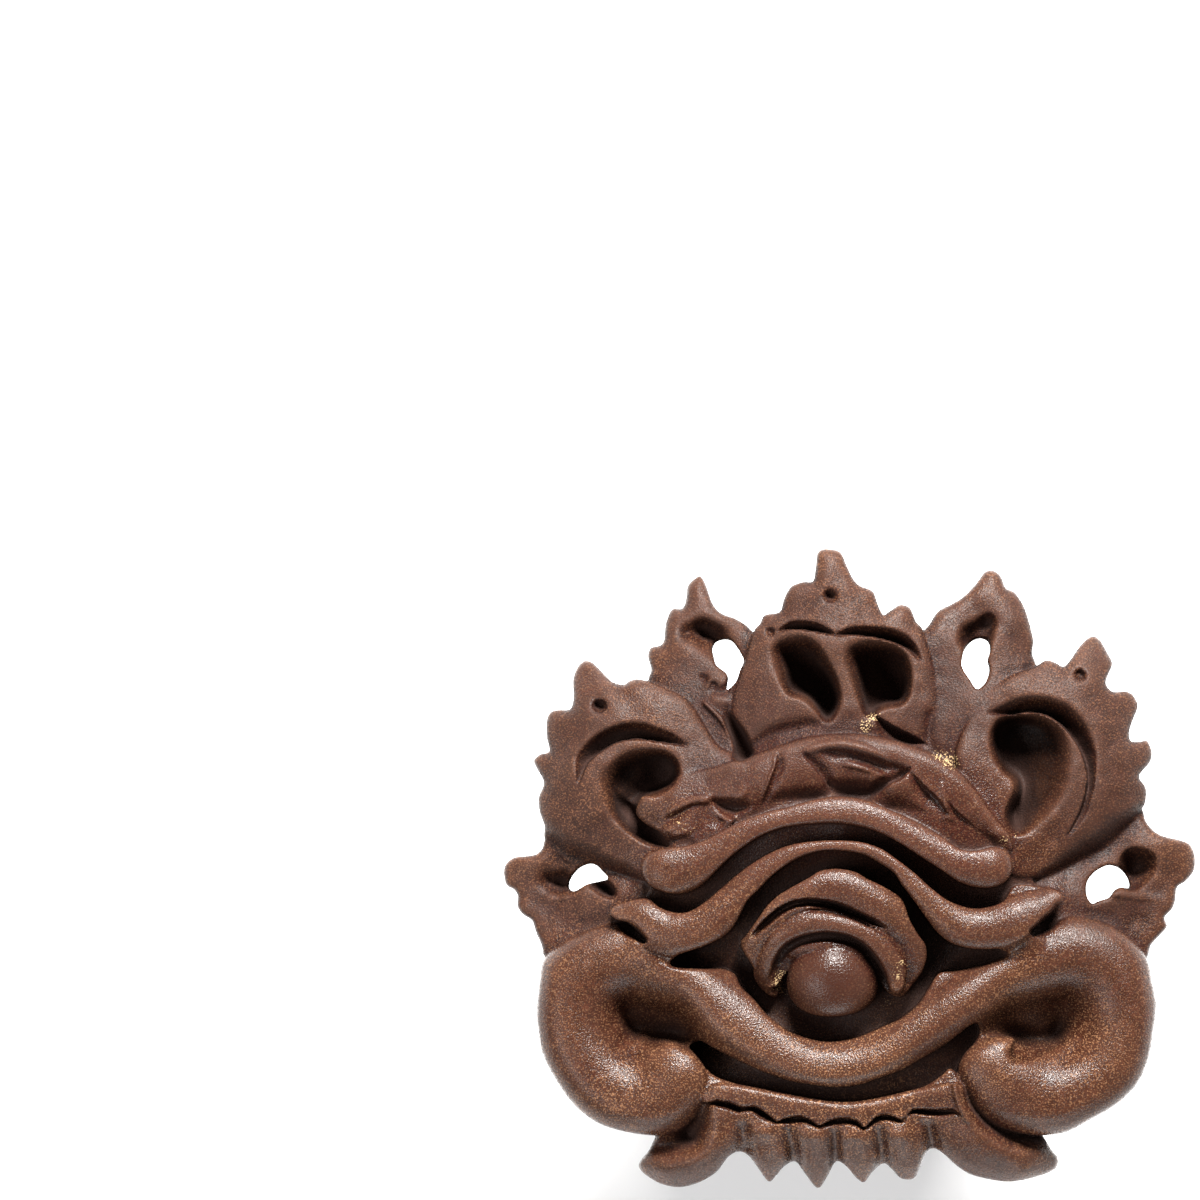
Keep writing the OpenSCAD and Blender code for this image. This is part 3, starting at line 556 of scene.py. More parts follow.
def bevel(block, y0, y1, rise):
    """Slope the flat back up from y0 towards y1, where it is up by rise in mm."""
    t = (block.y * 1000 / FACE_H - y0) / (y1 - y0)
    low = np.clip(t, 0, 1.3)[None, :, None] * rise - block.z[None, None, :]
    tilt = rise / (abs(y1 - y0) * FACE_H / 1000)
    block.field = np.maximum(block.field, (low / np.sqrt(1 + tilt * tilt)).astype(np.float32))


def sample(grid, points, cell=STEP):
    """Values of a grid at points, by linear blending."""
    q = np.clip((points - np.array(GRID_LOW)) / cell, 0, np.array(grid.shape) - 1.001)
    i = q.astype(int)
    t = q - i
    out = 0.0
    for corner in np.ndindex(2, 2, 2):
        share = np.prod(np.where(corner, t, 1 - t), axis=1)
        out = out + share * grid[tuple((i + corner).T)]
    return out


def cell_points(field):
    """Cells that the zero surface crosses, and the mean of its crossings in each."""
    solid = field < 0
    n = [size - 1 for size in field.shape]
    corners = list(np.ndindex(2, 2, 2))
    parts = [solid[i:i + n[0], j:j + n[1], k:k + n[2]] for i, j, k in corners]
    cell = np.argwhere(np.any(parts, axis=0) & ~np.all(parts, axis=0))
    value = [field[tuple((cell + corner).T)] for corner in corners]
    total = np.zeros((len(cell), 3))
    count = np.zeros(len(cell))
    for a in range(8):
        for b in range(a + 1, 8):
            start, end = np.array(corners[a], float), np.array(corners[b], float)
            if abs(start - end).sum() != 1:
                continue
            cross = (value[a] < 0) != (value[b] < 0)
            t = np.where(cross, value[a] / np.where(cross, value[a] - value[b], 1), 0)
            total += np.where(cross[:, None], start + t[:, None] * (end - start), 0)
            count += cross
    return cell, cell + total / count[:, None]


def surface(field):
    """Points and quads of the zero surface, one point in each cell that it crosses."""
    cell, points = cell_points(field)
    solid = field < 0
    n = [size - 1 for size in field.shape]
    index = np.full(n, -1, np.int32)
    index[tuple(cell.T)] = np.arange(len(cell))
    quads = []
    for axis in range(3):
        low, high = [slice(None)] * 3, [slice(None)] * 3
        low[axis], high[axis] = slice(0, -1), slice(1, None)
        e = np.argwhere(solid[tuple(low)] != solid[tuple(high)])
        u, w = (axis + 1) % 3, (axis + 2) % 3
        e = e[(e[:, u] > 0) & (e[:, w] > 0) & (e[:, u] < n[u]) & (e[:, w] < n[w])]
        ring = []
        for du, dw in ((0, 0), (-1, 0), (-1, -1), (0, -1)):
            c = e.copy()
            c[:, u] += du
            c[:, w] += dw
            ring.append(index[tuple(c.T)])
        quad = np.stack(ring, 1)
        turned = ~solid[tuple(e.T)]
        quad[turned] = quad[turned][:, ::-1]
        quads.append(quad)
    return points * STEP + np.array(GRID_LOW), np.concatenate(quads)


def top_leaves(block):
    """The two small leaves beside the crown."""
    form = Form(block, TOP_LEFT, [
        [-210,490,1.05], [-245,435,1.35], [-275,370,1.5], [-160,420,1.9], [-200,440,1.6], [-230,380,1.95],
        [-200,340,2.1], [-250,320,2.1], [-180,300,2.4], [-190,250,2.6], [-160,220,2.8], [-130,300,2.6]])
    form.dish([[-224,403,13,0.45], [-206,405,15,0.9], [-188,398,14,0.8]])
    form.dish([[-200,392,16,0.4], [-186,380,16,0.5]])
    form.dish([[-190,328,14,-0.16], [-178,326,13,-0.16]])
    form.dish([[-204,331,5,0.16], [-202,330,5,0.16]])
    form.dish([[-190,322,4,0.12], [-189,321,4,0.12]])
    form.dish([[-184,298,12,-0.14], [-174,296,11,-0.14]])
    form.dish([[-190,312,7,0.12], [-174,311,7,0.12]])
    form.ridge([[-202,292,4,0.15], [-178,266,5,0.2], [-165,240,4,0.1]])
    form.round(0.45, 0.3).lay(0.1)
    # Right leaf
    form = Form(block, TOP_RIGHT, [
        [212,495,1.8], [190,470,2], [250,450,1.9], [268,390,2], [150,440,2.2], [230,420,2.3],
        [150,400,2.45], [170,330,2.7], [240,330,2.6], [140,360,2.6], [200,290,3], [150,250,3],
        [150,210,3], [130,300,2.8]])
    form.bowl(
        [[160,385], [160,402], [167,417], [185,427], [207,435], [218,425], [217,405], [212,385],
         [200,372], [175,368]],
        [[190,410,0.9], [175,400,0.9], [205,420,0.85], [200,390,1.1]],
        [[160,400,0.55], [185,428,0.5], [218,420,0.2], [214,390,0.3], [170,375,0.4], [200,375,0.3]])
    form.dish([[172,424,18,0.12], [195,432,18,0.2], [222,418,14,0.12]])
    form.rough(0.014, 0.35, 3)
    form.round(0.45, 0.3).lay(0.1)


def crown(block):
    """The centre leaf: two arched cuts, two scroll hollows and a fold at its foot."""
    form = Form(block, CROWN, [
        [-22,530,2.65], [-22,470,3], [-80,465,2.75], [40,455,2.8], [-110,420,2.65], [95,425,2.65],
        [-60,425,2.95], [40,420,3], [-60,400,3.25], [40,395,3.2], [-12,330,3.4], [-140,300,2.9],
        [118,330,2.9], [-100,250,3.35], [60,265,3.3], [140,220,2.8], [-150,220,2.9], [0,200,3.3]])
    # Arched cuts
    form.step([[-92,403,7,0.2], [-75,407,14,0.7], [-45,404,15,0.85], [-20,398,8,0.25]])
    form.step([
        [-10,396,7,0.2], [12,398,14,0.65], [45,394,19,0.9], [70,387,21,0.9], [90,376,18,0.7],
        [106,359,8,0.15]])
    form.rough(0.013, 0.35, 4)
    # Left scroll hollow
    form.bowl(
        [[-115,375], [-108,389], [-92,399], [-70,404], [-48,396], [-35,382], [-23,358], [-13,330],
         [-8,303], [-12,282], [-20,269], [-26,264], [-33,272], [-45,289], [-55,298], [-67,303], [-80,306],
         [-89,317], [-99,334], [-110,354]],
        [[-95,380,1], [-75,385,1.2], [-80,350,1.6], [-55,360,1.9], [-35,350,2.3], [-60,325,2.3],
         [-30,310,2.6], [-25,280,2.6], [-80,320,1.9]],
        [[-115,370,1.1], [-105,390,0.9], [-70,404,0.8], [-40,388,0.5], [-15,335,0.28], [-8,303,0.22],
         [-26,264,0.12], [-50,296,0.12], [-72,304,0.14], [-92,322,0.35], [-108,350,0.8], [-50,350,0.6]])
    # Right scroll hollow
    form.bowl(
        [[-4,375], [5,389], [30,397], [62,393], [84,376], [93,355], [95,330], [90,303], [80,291],
         [62,288], [46,282], [34,272], [21,296], [8,330], [-3,355]],
        [[15,380,1], [35,375,1.3], [60,380,1.3], [30,345,1.8], [60,350,2.1], [80,340,2.1], [40,315,2.5],
         [70,310,2.5], [38,290,2.6]],
        [[-4,372,0.9], [10,392,0.9], [62,394,0.7], [88,370,0.4], [95,335,0.25], [88,300,0.15],
         [62,288,0.12], [46,282,0.12], [34,272,0.12], [15,310,0.35], [-2,350,0.7]])
    # Folds at the foot, and nicks
    form.step([[47,270,8,0.2], [60,261,26,0.45], [78,249,32,0.6], [98,239,28,0.5], [115,229,10,0.1]], -1)
    form.dish([[-135,222,9,0.15], [-100,243,12,0.25], [-60,254,12,0.25], [-38,256,8,0.1]])
    form.dish([[-108,403,5,0.25], [-106,402,5,0.25]])
    form.dish([[125,270,9,0.12], [135,240,12,0.25], [150,222,10,0.2]])
    form.round(0.5, 0.3).lay(0.1)


def big_leaves(block):
    """The two leaves at the shoulders, each with a crescent cut and a scroll hollow."""
    form = Form(block, BIG_LEFT, [
        [-375,355,1.5], [-330,322,2.3], [-290,320,2.6], [-355,290,2.6], [-415,270,1.9], [-420,210,2.1],
        [-445,205,1.7], [-432,150,2], [-430,100,2.1], [-395,190,2.8], [-385,120,2.8], [-320,270,2.9],
        [-250,275,3], [-200,250,3], [-330,230,3.05], [-300,236,3.1], [-230,225,3.2], [-200,200,3.3],
        [-330,110,3], [-340,60,2.7], [-280,50,3], [-250,100,3.4], [-270,130,3.4]])
    # Crescent cut, scroll hollow and foot of the left leaf
    form.step([
        [-380,172,10,0.2], [-370,198,24,0.75], [-353,215,28,1.05], [-328,231,28,1.15], [-300,236,28,1.1],
        [-277,233,24,0.95], [-250,228,18,0.5], [-230,224,8,0.1]])
    form.bowl(
        [[-240,182], [-244,202], [-258,215], [-287,221], [-320,217], [-350,200], [-366,172], [-362,140],
         [-345,110], [-320,92], [-293,78], [-268,72], [-262,84], [-287,96], [-299,113], [-297,127],
         [-287,142], [-265,153], [-248,165]],
        [[-256,190,2.2], [-275,180,2.2], [-300,170,1.7], [-310,140,1.6], [-303,112,1.5], [-285,88,1.5],
         [-320,190,1.2], [-345,165,0.7], [-335,125,0.8], [-300,200,1.3]],
        [[-240,182,0.15], [-246,204,0.2], [-270,219,0.3], [-320,217,0.6], [-355,195,1.3], [-365,160,1.6],
         [-350,118,1.5], [-315,90,1.5], [-288,76,1.3], [-268,72,0.9], [-290,98,0.12], [-298,120,0.12],
         [-285,143,0.12], [-255,160,0.12]])
    form.rough(0.015, 0.4, 5)
    form.dish([
        [-432,88,12,0.4], [-404,58,16,0.55], [-374,42,16,0.55], [-332,24,14,0.5], [-292,10,10,0.3]])
    form.round(0.4, 0.25).lay(0.1)
    form = Form(block, BIG_RIGHT, [
        [359,390,1.7], [300,350,2.4], [275,345,2.6], [339,337,2.6], [400,305,2], [415,290,1.8],
        [380,280,2.5], [435,225,1.8], [400,220,2.5], [432,150,1.9], [400,160,2.6], [370,200,2.9],
        [370,120,2.8], [330,300,2.9], [250,310,3], [210,300,3], [250,285,3], [300,275,3.1], [190,250,3.2],
        [200,180,3.4], [220,150,3.4], [335,200,3.2], [310,130,3.2], [300,70,3], [260,60,3.2],
        [350,70,2.7]])
    # The same on the right
    form.step([
        [212,274,10,0.1], [235,273,22,0.65], [262,278,26,1], [288,274,30,1.15], [309,260,34,1.2],
        [328,237,32,1.1], [342,210,24,0.9], [349,178,14,0.6], [345,145,12,0.35], [336,118,12,0.3],
        [322,90,8,0.1]])
    form.bowl(
        [[212,228], [213,248], [221,264], [237,274], [262,278], [290,274], [315,258], [332,231],
         [339,200], [335,165], [322,138], [303,117], [280,100], [262,89], [249,85], [238,95], [233,116],
         [238,134], [246,152], [244,171], [230,186], [218,206]],
        [[235,245,1.9], [230,215,2.2], [255,215,2.1], [255,180,2.3], [250,150,2.3], [248,120,2.3],
         [246,98,1.8], [285,245,1.6], [290,200,1.5], [275,150,1.5], [265,115,1.5], [320,200,0.7],
         [305,150,0.7]],
        [[212,235,0.15], [225,268,0.2], [262,278,0.3], [300,268,0.5], [330,235,1], [339,195,1.4],
         [325,140,1.2], [300,115,0.9], [270,94,0.5], [249,85,0.2], [234,110,0.12], [246,152,0.12],
         [238,178,0.12], [218,206,0.12]])
    form.rough(0.015, 0.4, 6)
    form.dish([[428,118,12,0.4], [402,92,16,0.6], [368,63,18,0.65], [328,38,16,0.6], [292,22,10,0.35]])
    form.round(0.4, 0.25).lay(0.1)


def low_leaves(block):
    """The two leaves at the sides."""
    form = Form(block, LOW_LEFT, [
        [-490,30,1.1], [-460,45,1.5], [-435,70,1.6], [-400,60,1.6], [-340,50,1.9], [-300,20,2.4],
        [-470,-30,1.5], [-440,-80,1.8], [-430,10,1.5], [-380,-20,2.2], [-340,-60,2.6], [-300,-100,2.8],
        [-300,-30,2.8]])
    form.dish([[-424,14,12,0.5], [-408,10,15,0.9], [-398,6,12,0.6]])
    form.dish([[-360,10,8,0.7], [-346,2,9,1.1], [-338,-4,7,0.8]], 3.0)
    form.dish([[-440,-22,30,0.1], [-400,-45,30,0.22], [-350,-55,26,0.25], [-300,-60,20,0.2]])
    form.ridge([[-430,-14,8,0.03], [-405,-8,10,0.14], [-380,-4,8,0.05]])
    form.rough(0.015, 0.3, 7)
    form.round(0.4, 0.25).lay(0.1)
    # Right leaf, with a hollow round its opening
    form = Form(block, LOW_RIGHT, [
        [500,50,1.2], [470,70,1.6], [430,115,1.6], [400,95,1.6], [440,60,1.8], [340,60,1.9], [300,20,2.4],
        [480,-20,1.5], [450,-70,1.7], [430,10,1.6], [380,-25,2.3], [340,-60,2.6], [300,-100,2.9],
        [300,-20,2.9]])
    form.sink(
        [[392,44], [400,57], [415,65], [434,63], [452,55], [462,38], [456,18], [440,6], [420,1], [405,6],
         [404,24], [398,36]],
        [[392,46,1.9], [412,66,1.5], [434,64,1.6], [462,40,2], [456,18,2], [440,4,1.9], [430,38,0.85],
         [415,28,0.6], [420,8,1.2], [410,50,1]], 3.0, 0.14)
    form.dish([[330,-22,20,0.1], [375,-38,22,0.2], [430,-50,24,0.15]])
    form.ridge([[370,-10,6,0.03], [392,-6,7,0.1], [425,-10,8,0.06], [450,-14,6,0.02]])
    form.rough(0.015, 0.3, 8)
    form.round(0.4, 0.25).lay(0.1)


def left_cuts(block):
    """A groove in the left scroll hollow, and the cut between that leaf and the crown."""
    gouge(block, [
        [-331,160,4,2.3], [-324,144,7,1.85], [-316,130,9,1.5], [-305,114,9,1.5], [-292,99,8.5,1.65],
        [-279,87,7.5,1.9], [-266,77,5.5,2.35], [-258,71,3,2.9]], 0.1, 0.25)
    gouge(block, [
        [-170,296,3,2.7], [-169,275,4.5,2.45], [-163,258,6,2.2], [-152,236,7,2.05],
        [-146,214,8.5,2]], 0.1, 0.2)


def bed(block):
    """The ground under the middle of the face."""
    form = Form(block, BED, [
        [-250,-215,1.3], [250,-215,1.3], [-290,-225,1.3], [300,-225,1.3], [-225,-240,1.6], [222,-228,1.6],
        [0,45,3.1], [-100,10,3], [75,20,3], [0,-144,2.6], [-20,-212,2.4], [-100,-180,2.5], [85,-190,2.5],
        [-200,-105,2.4], [-160,-80,2.5], [115,-80,2.5], [180,-112,2.4], [0,-325,3], [-120,-300,2.9],
        [-175,-272,2.5], [100,-298,2.6], [150,-262,2.5], [0,88,3.75], [-100,72,3.6], [-160,30,3.2],
        [110,60,3.6], [150,20,3.3], [0,150,3.3], [-230,-15,3.1], [-280,0,3.1], [200,-12,3]])
    form.lay(0.1)


def forehead(block):
    """The arched forehead: a small leaf in the middle, and facets on both sides."""
    form = Form(block, FOREHEAD, FOREHEAD_LEVELS)
    form.round(0.42, 0.45)
    # Small leaf in the middle
    form.ridge([
        [-60,214,5,0.03], [-40,222,8,0.12], [-10,227,10,0.2], [20,221,10,0.2], [42,212,9,0.17],
        [62,202,6,0.05]])
    form.dish([[-30,210,9,0.06], [10,205,10,0.16], [35,199,11,0.26], [58,189,11,0.34], [80,186,8,0.26]])
    form.ridge([[-10,198,5,0.03], [8,196,7,0.12], [30,190,7,0.14], [54,180,5,0.05]])
    form.step([
        [-63,214,5,0.06], [-55,203,14,0.16], [-45,192,20,0.22], [-35,178,24,0.26], [-27,166,18,0.2]])
    form.dish([[-20,158,10,0.2], [2,152,14,0.42], [25,150,14,0.46], [44,156,11,0.32]])
    form.step([[93,187,6,0.2], [80,173,14,0.45], [68,167,18,0.5], [55,158,20,0.5], [43,148,14,0.3]], -1)
    # Facets left and right of it
    form.ridge([
        [-98,214,4,0.04], [-99,195,5,0.1], [-105,178,5,0.12], [-111,160,5,0.1], [-118,140,4,0.03]])
    form.step([[-98,216,6,0.05], [-99,195,18,0.18], [-105,178,20,0.2], [-118,138,10,0.1]])
    form.step([
        [92,186,6,0.05], [105,172,20,0.2], [115,160,28,0.32], [130,145,28,0.36], [142,128,18,0.25]], -1)
    form.ridge([[138,166,4,0.03], [142,150,5,0.08], [145,128,5,0.1], [142,110,4,0.03]])
    form.step([[147,140,4,0.05], [160,122,12,0.22], [172,110,16,0.32], [187,95,10,0.2]], -1)
    form.dish([[112,108,10,0.15], [145,88,12,0.3], [175,73,12,0.42], [206,70,9,0.2]])
    form.dish([[-90,138,12,0.15], [-60,142,12,0.2], [-30,142,10,0.15]])
    form.rough(0.008, 0.35, 10)
    form.lay(0.08)


def leaf_tip(block):
    """The leaf tip at the left end of the forehead."""
    form = Form(block, LEAF_TIP, [
        [-300,122,3.2], [-290,143,3.4], [-262,148,3.45], [-240,178,3.42], [-200,188,3.5], [-165,196,3.75],
        [-170,160,3.85], [-200,140,3.75], [-250,130,3.6], [-270,105,3.3], [-240,110,3.5], [-205,118,3.65],
        [-255,80,3.4], [-215,85,3.7], [-190,95,3.8]])
    form.ridge([
        [-262,112,5,0.03], [-248,121,8,0.14], [-233,131,8,0.18], [-215,139,8,0.18], [-198,141,8,0.16],
        [-184,139,5,0.05]])
    form.dish([[-252,108,10,0.12], [-232,114,13,0.24], [-212,120,10,0.18]])
    form.ridge([[-262,82,5,0.03], [-245,86,8,0.14], [-230,92,8,0.16], [-214,98,5,0.05]])
    form.dish([[-250,73,7,0.2], [-235,73,7,0.22], [-222,76,6,0.12]])
    form.dish([[-196,118,10,0.12], [-180,108,10,0.16]])
    form.ridge([
        [-192,124,5,0.04], [-178,115,6,0.12], [-160,110,6,0.12], [-140,110,6,0.1], [-122,115,5,0.03]])
    form.rough(0.014, 0.3, 9)
    form.round(0.18, 0.12).lay(0.07, 0.06)
    gouge(block, [[-188,138,2,3.6], [-174,130,4,3.42], [-158,126,4.5,3.4], [-143,128,2,3.6]], 0.16, 0.6)


def brow_and_lid(block):
    """The brow roll and the upper lid."""
    Form(block, BROW).crest(BROW_SPINE, 0.75).lay(0.07, 0.05)
    Form(block, LID).crest(LID_SPINE, 0.8).lay(0.07, 0.05)


def eye(block):
    """Two folds, the eyeball and the groove round it."""
    form = Form(block, FOLD)
    form.crest([
        [-138,-118,17,3.8], [-128,-80,19,4.25], [-108,-48,20,4.6], [-80,-20,24,4.8], [-48,0,29,4.9],
        [-10,6,33,4.92], [28,-10,33,4.92], [62,-36,32,4.84], [90,-70,28,4.55], [97,-108,24,4.2],
        [88,-145,20,3.75]], 0.85)
    form.groove([
        [-132,-72,3,0.1], [-122,-60,5,0.5], [-108,-46,6,0.8], [-92,-32,6,0.9], [-72,-22,6,0.9],
        [-48,-19,6,0.9], [-20,-23,6,0.85], [0,-30,6,0.8], [22,-40,5,0.7], [42,-50,5,0.5], [58,-58,3,0.1]])
    form.lay(0.06, 0.04)
    form = Form(block, INNER_FOLD)
    form.crest([
        [-110,-158,11,3.3], [-114,-132,13,3.8], [-110,-100,14,4.25], [-92,-72,18,4.6], [-60,-52,20,4.74],
        [-20,-52,20,4.8], [15,-62,21,4.8], [45,-82,22,4.74], [66,-110,19,4.6],
        [74,-145,14,4.3]], 0.9).lay(0.05, 0.03)
    # Eyeball
    form = Form(block, [
        [-84,-145], [-80,-122], [-69,-103], [-51,-90], [-28,-84], [0,-87], [20,-98], [36,-114], [45,-132],
        [47,-152], [42,-169], [28,-184], [8,-193], [-20,-197], [-46,-194], [-66,-184], [-79,-167]])
    form.crest([[-19,-138,64,4.7], [-17,-141,64,4.7]], 0.85).lay(0.06, 0.02)
    gouge(block, [
        [-106,-138,3,3.6], [-96,-112,5,3.6], [-84,-92,5,3.7], [-62,-79,5,3.8], [-30,-73,5,3.8],
        [0,-77,5,3.8], [22,-88,5,3.8], [38,-106,5,3.7], [50,-128,5,3.6], [56,-150,5,3.5]], 0.04)


def lip_and_cheeks(block):
    """The lip under the eye, running out into the hollowed cheeks."""
    form = Form(block, LIP, UNDER_LIP)
    form.crest(LIP_SPINE, 0.85, 0.2)
    # Hollow of the left cheek, from deep in the curl out
    form.dish([[-318,-180,46,0.35], [-262,-190,42,0.4]])
    form.dish([[-300,-207,34,0.5], [-252,-214,32,0.9]])
    form.dish([[-286,-218,20,0.6], [-240,-230,18,0.7]])
    form.dish([[-232,-230,15,0.4], [-205,-252,12,0.4]])
    # Hollow of the right cheek
    form.dish([[330,-182,46,0.35], [255,-180,44,0.4]])
    form.dish([[315,-210,36,0.6], [252,-216,34,0.9]])
    form.dish([[295,-230,22,0.6], [246,-242,20,0.8]])
    form.dish([[235,-222,16,0.4], [195,-230,12,0.4]])
    form.soften(0.14)
    form.round(0.9, 0.75, 2.2, LIP_ROUND)
    form.lay(0.09, 0.04)


def curls(block):
    """The curled inner ends of the cheeks."""
    for outline, low in ((LEFT_CURL, LEFT_SINK), (RIGHT_CURL, RIGHT_SINK)):
        form = Form(block, outline, UNDER_LIP)
        form.crest(LIP_SPINE, 0.7, 0.2)
        form.top = form.top - form.sheet(low)
        form.soften(0.12)
        form.round(0.26, 0.25).lay(0.08, 0.2)


def eye_corners(block):
    """Soft joins of lip and lid at both corners of the eye."""
    for outline, levels in (LEFT_CORNER, RIGHT_CORNER):
        Form(block, outline, levels).lay(0.2, 0.3)


def jaw(block):
    """Teeth between two fangs, with the cuts under the gum."""
    form = Form(block, JAW, JAW_LEVELS).round(0.45, 0.35)
    form.step(GUM_CUTS, -1)
    for cut in TOOTH_CUTS:
        form.dish(cut, 1.8)
    for x, y in TOOTH_TOPS:
        form.dish([[x - 6, y - 4, 14, -0.2], [x + 6, y - 4, 14, -0.2]])
    # Roots of the fangs
    form.dish([[-202,-335,8,0.3], [-211,-358,14,0.7], [-222,-380,18,0.8]])
    form.dish([[-226,-386,18,0.6], [-252,-398,20,0.7], [-276,-398,14,0.5]])
    form.step([
        [178,-296,14,0.5], [192,-322,28,0.9], [212,-345,38,1.1], [240,-360,46,1.15], [272,-368,46,1],
        [312,-372,34,0.8]], -1)
    form.dish([[176,-300,8,0.5], [190,-330,9,0.8], [214,-352,9,0.8], [242,-366,9,0.7], [275,-374,8,0.5]])
    form.ridge([[150,-284,4,0.05], [156,-302,5,0.2], [162,-330,5,0.2], [176,-360,5,0.1]])
    form.rough(0.008, 0.3, 11)
    form.lay(0.08, 0.04)


def gum(block):
    """The gum over the teeth."""
    form = Form(block, GUM, [
        [-190,-300,3.75], [-120,-322,3.8], [-40,-343,3.8], [30,-343,3.8], [110,-318,3.8], [150,-285,3.75],
        [-170,-325,3.85], [-100,-350,3.86], [0,-352,3.88], [60,-345,3.88], [140,-335,3.85]])
    form.rough(0.012, 0.2, 12)
    form.round(0.12, 0.08)
    form.lay(0.06, 0.03)


def openings(block):
    """The openings, the dimples of the leaves and the notches at the eye's corners."""
    for hole in HOLES:
        pierce(block, hole)
    # Dimples
    gouge(block, [[-22,460,5,2.6], [-21,459,5,2.6]], 0.14, 0.35)
    gouge(block, [[-356,289,5,2.1], [-353,288,5,2.1]], 0.12, 0.3)
    gouge(block, [[338,338,5,2.25], [340,336,5,2.25]], 0.14, 0.35)
    # Notches
    gouge(block, [[-326,-54,2.5,3.3], [-314,-58,4.5,3], [-302,-68,4.5,2.9], [-290,-78,2.5,3.2]], 0.08)
    gouge(block, [[306,-28,3,3.2], [300,-42,5,2.8], [288,-56,6,2.8], [272,-66,3,3.2]])


def build():
    """The carved front: later parts are cut into or laid over earlier ones."""
    block = Block()
    for part in (top_leaves, crown, big_leaves, low_leaves, left_cuts, bed, forehead, leaf_tip,
                 brow_and_lid, eye, lip_and_cheeks, curls, eye_corners, jaw, gum, openings):
        part(block)
    bevel(block, 415, 545, 1.25)
    bevel(block, -402, -480, 0.75)
    block.field = np.maximum(block.field, -block.z[None, None, :].astype(np.float32))
    return block


def patches(points, rows):
    """Soft patches on the face, at most 1.2 where they overlap."""
    out = np.zeros(len(points))
    for x, y, r, amount in rows:
        square = (points[:, 0] - x * FACE_W / 1000) ** 2 + (points[:, 1] - y * FACE_H / 1000) ** 2
        out += amount * np.exp(-square / (r * FACE_W / 1000) ** 2)
    return np.minimum(out, 1.2)


def new_object(name, data):
    ob = bpy.data.objects.new(name, data)
    bpy.context.scene.collection.objects.link(ob)
    return ob


def new_mesh(name, points, faces):
    """Smooth-shaded object from points and faces that all have as many corners."""
    mesh = bpy.data.meshes.new(name)
    mesh.vertices.add(len(points))
    mesh.vertices.foreach_set("co", np.asarray(points, np.float32).ravel())
    mesh.loops.add(faces.size)
    mesh.loops.foreach_set("vertex_index", faces.astype(np.int32).ravel())
    mesh.polygons.add(len(faces))
    mesh.polygons.foreach_set("loop_start", np.arange(0, faces.size, faces.shape[1], dtype=np.int32))
    mesh.update(calc_edges=True)
    mesh.validate()
    mesh.polygons.foreach_set("use_smooth", np.full(len(mesh.polygons), True))
    return new_object(name, mesh)


def paint(mesh, **values):
    """Values for the material, one for each point of the mesh."""
    for key, value in values.items():
        layer = mesh.attributes.new(key, "FLOAT", "POINT")
        layer.data.foreach_set("value", value.astype(np.float32))


def thin(ob, triangles):
    """Reduce the mesh to MOST_TRIANGLES, most of them where it curves."""
    modifier = ob.modifiers.new("thin", "DECIMATE")
    modifier.ratio = min(1.0, MOST_TRIANGLES / triangles)
    thinned = bpy.data.meshes.new_from_object(ob.evaluated_get(bpy.context.evaluated_depsgraph_get()))
    ob.modifiers.clear()
    full = ob.data
    ob.data = thinned
    bpy.data.meshes.remove(full)
    thinned.name = ob.name
    return thinned


def settle(field, points):
    """Move points back onto the zero surface; returns the way out of the wood at each."""
    reach, most_move = 0.5 * STEP, 0.03
    for _ in range(2):
        value = sample(field, points)
        rise = [sample(field, points + reach * way) - sample(field, points - reach * way)
                for way in np.eye(3)]
        out = np.stack(rise, 1) / (2 * reach)
        square = (out * out).sum(1)
        move = np.clip(value / np.maximum(square, 0.2), -most_move, most_move)
        points -= move[:, None] * out
    return out / np.sqrt(np.maximum(square, 1e-6))[:, None]


def wood_around(field, points, out, away, cells):
    """Share of wood round places just outside the points, from every other grid point."""
    solid = (field[::2, ::2, ::2] < 0).astype(np.float32)
    return sample(blur(solid, cells, 2), points + out * away, 2 * STEP)


def carve_front():
    """The carved front, with the values its material needs."""
    field = build().field
    points, quads = surface(field)
    ob = new_mesh("plug_front", points, quads)
    mesh = thin(ob, 2 * len(quads))
    points = np.empty(len(mesh.vertices) * 3, np.float32)
    mesh.vertices.foreach_get("co", points)
    points = points.reshape(-1, 3).astype(float)
    out = settle(field, points)
    # deep keeps the painted shade of the scroll hollows to their low places
    deep = np.clip((2.8 - points[:, 2]) / 0.8, 0, 1)
    # near and wide: wood round each point, for the painted shade and dirt in the cuts and the wear on the
    # edges
    paint(mesh, near=wood_around(field, points, out, 0.2, 2),
          wide=wood_around(field, points, out, 0.6, 6),
          red=patches(points, RED), eye=patches(points, EYE),
          dust=patches(points, DUST), gold=patches(points, GOLD),
          matte=np.minimum(patches(points, MATTE), 1),
          stain=np.minimum(patches(points, HOLLOW_SHADE), 1) * deep)
    points[:, 2] += BARREL_L
    mesh.vertices.foreach_set("co", (points / METRE).astype(np.float32).ravel())
    mesh.polygons.foreach_set("use_smooth", np.full(len(mesh.polygons), True))
    mesh.update()
    return ob


def barrel_radius(z):
    """A waist, a round flare on both sides of it, then a straight slope."""
    run = FLARE_R * math.sin(FLARE_ANGLE)
    away = max(0.0, abs(z - WAIST_Z) - WAIST_HALF_L)
    flare = FLARE_R - math.sqrt(FLARE_R**2 - min(away, run) ** 2)
    return WAIST_R + flare + max(0.0, away - run) * math.tan(FLARE_ANGLE)


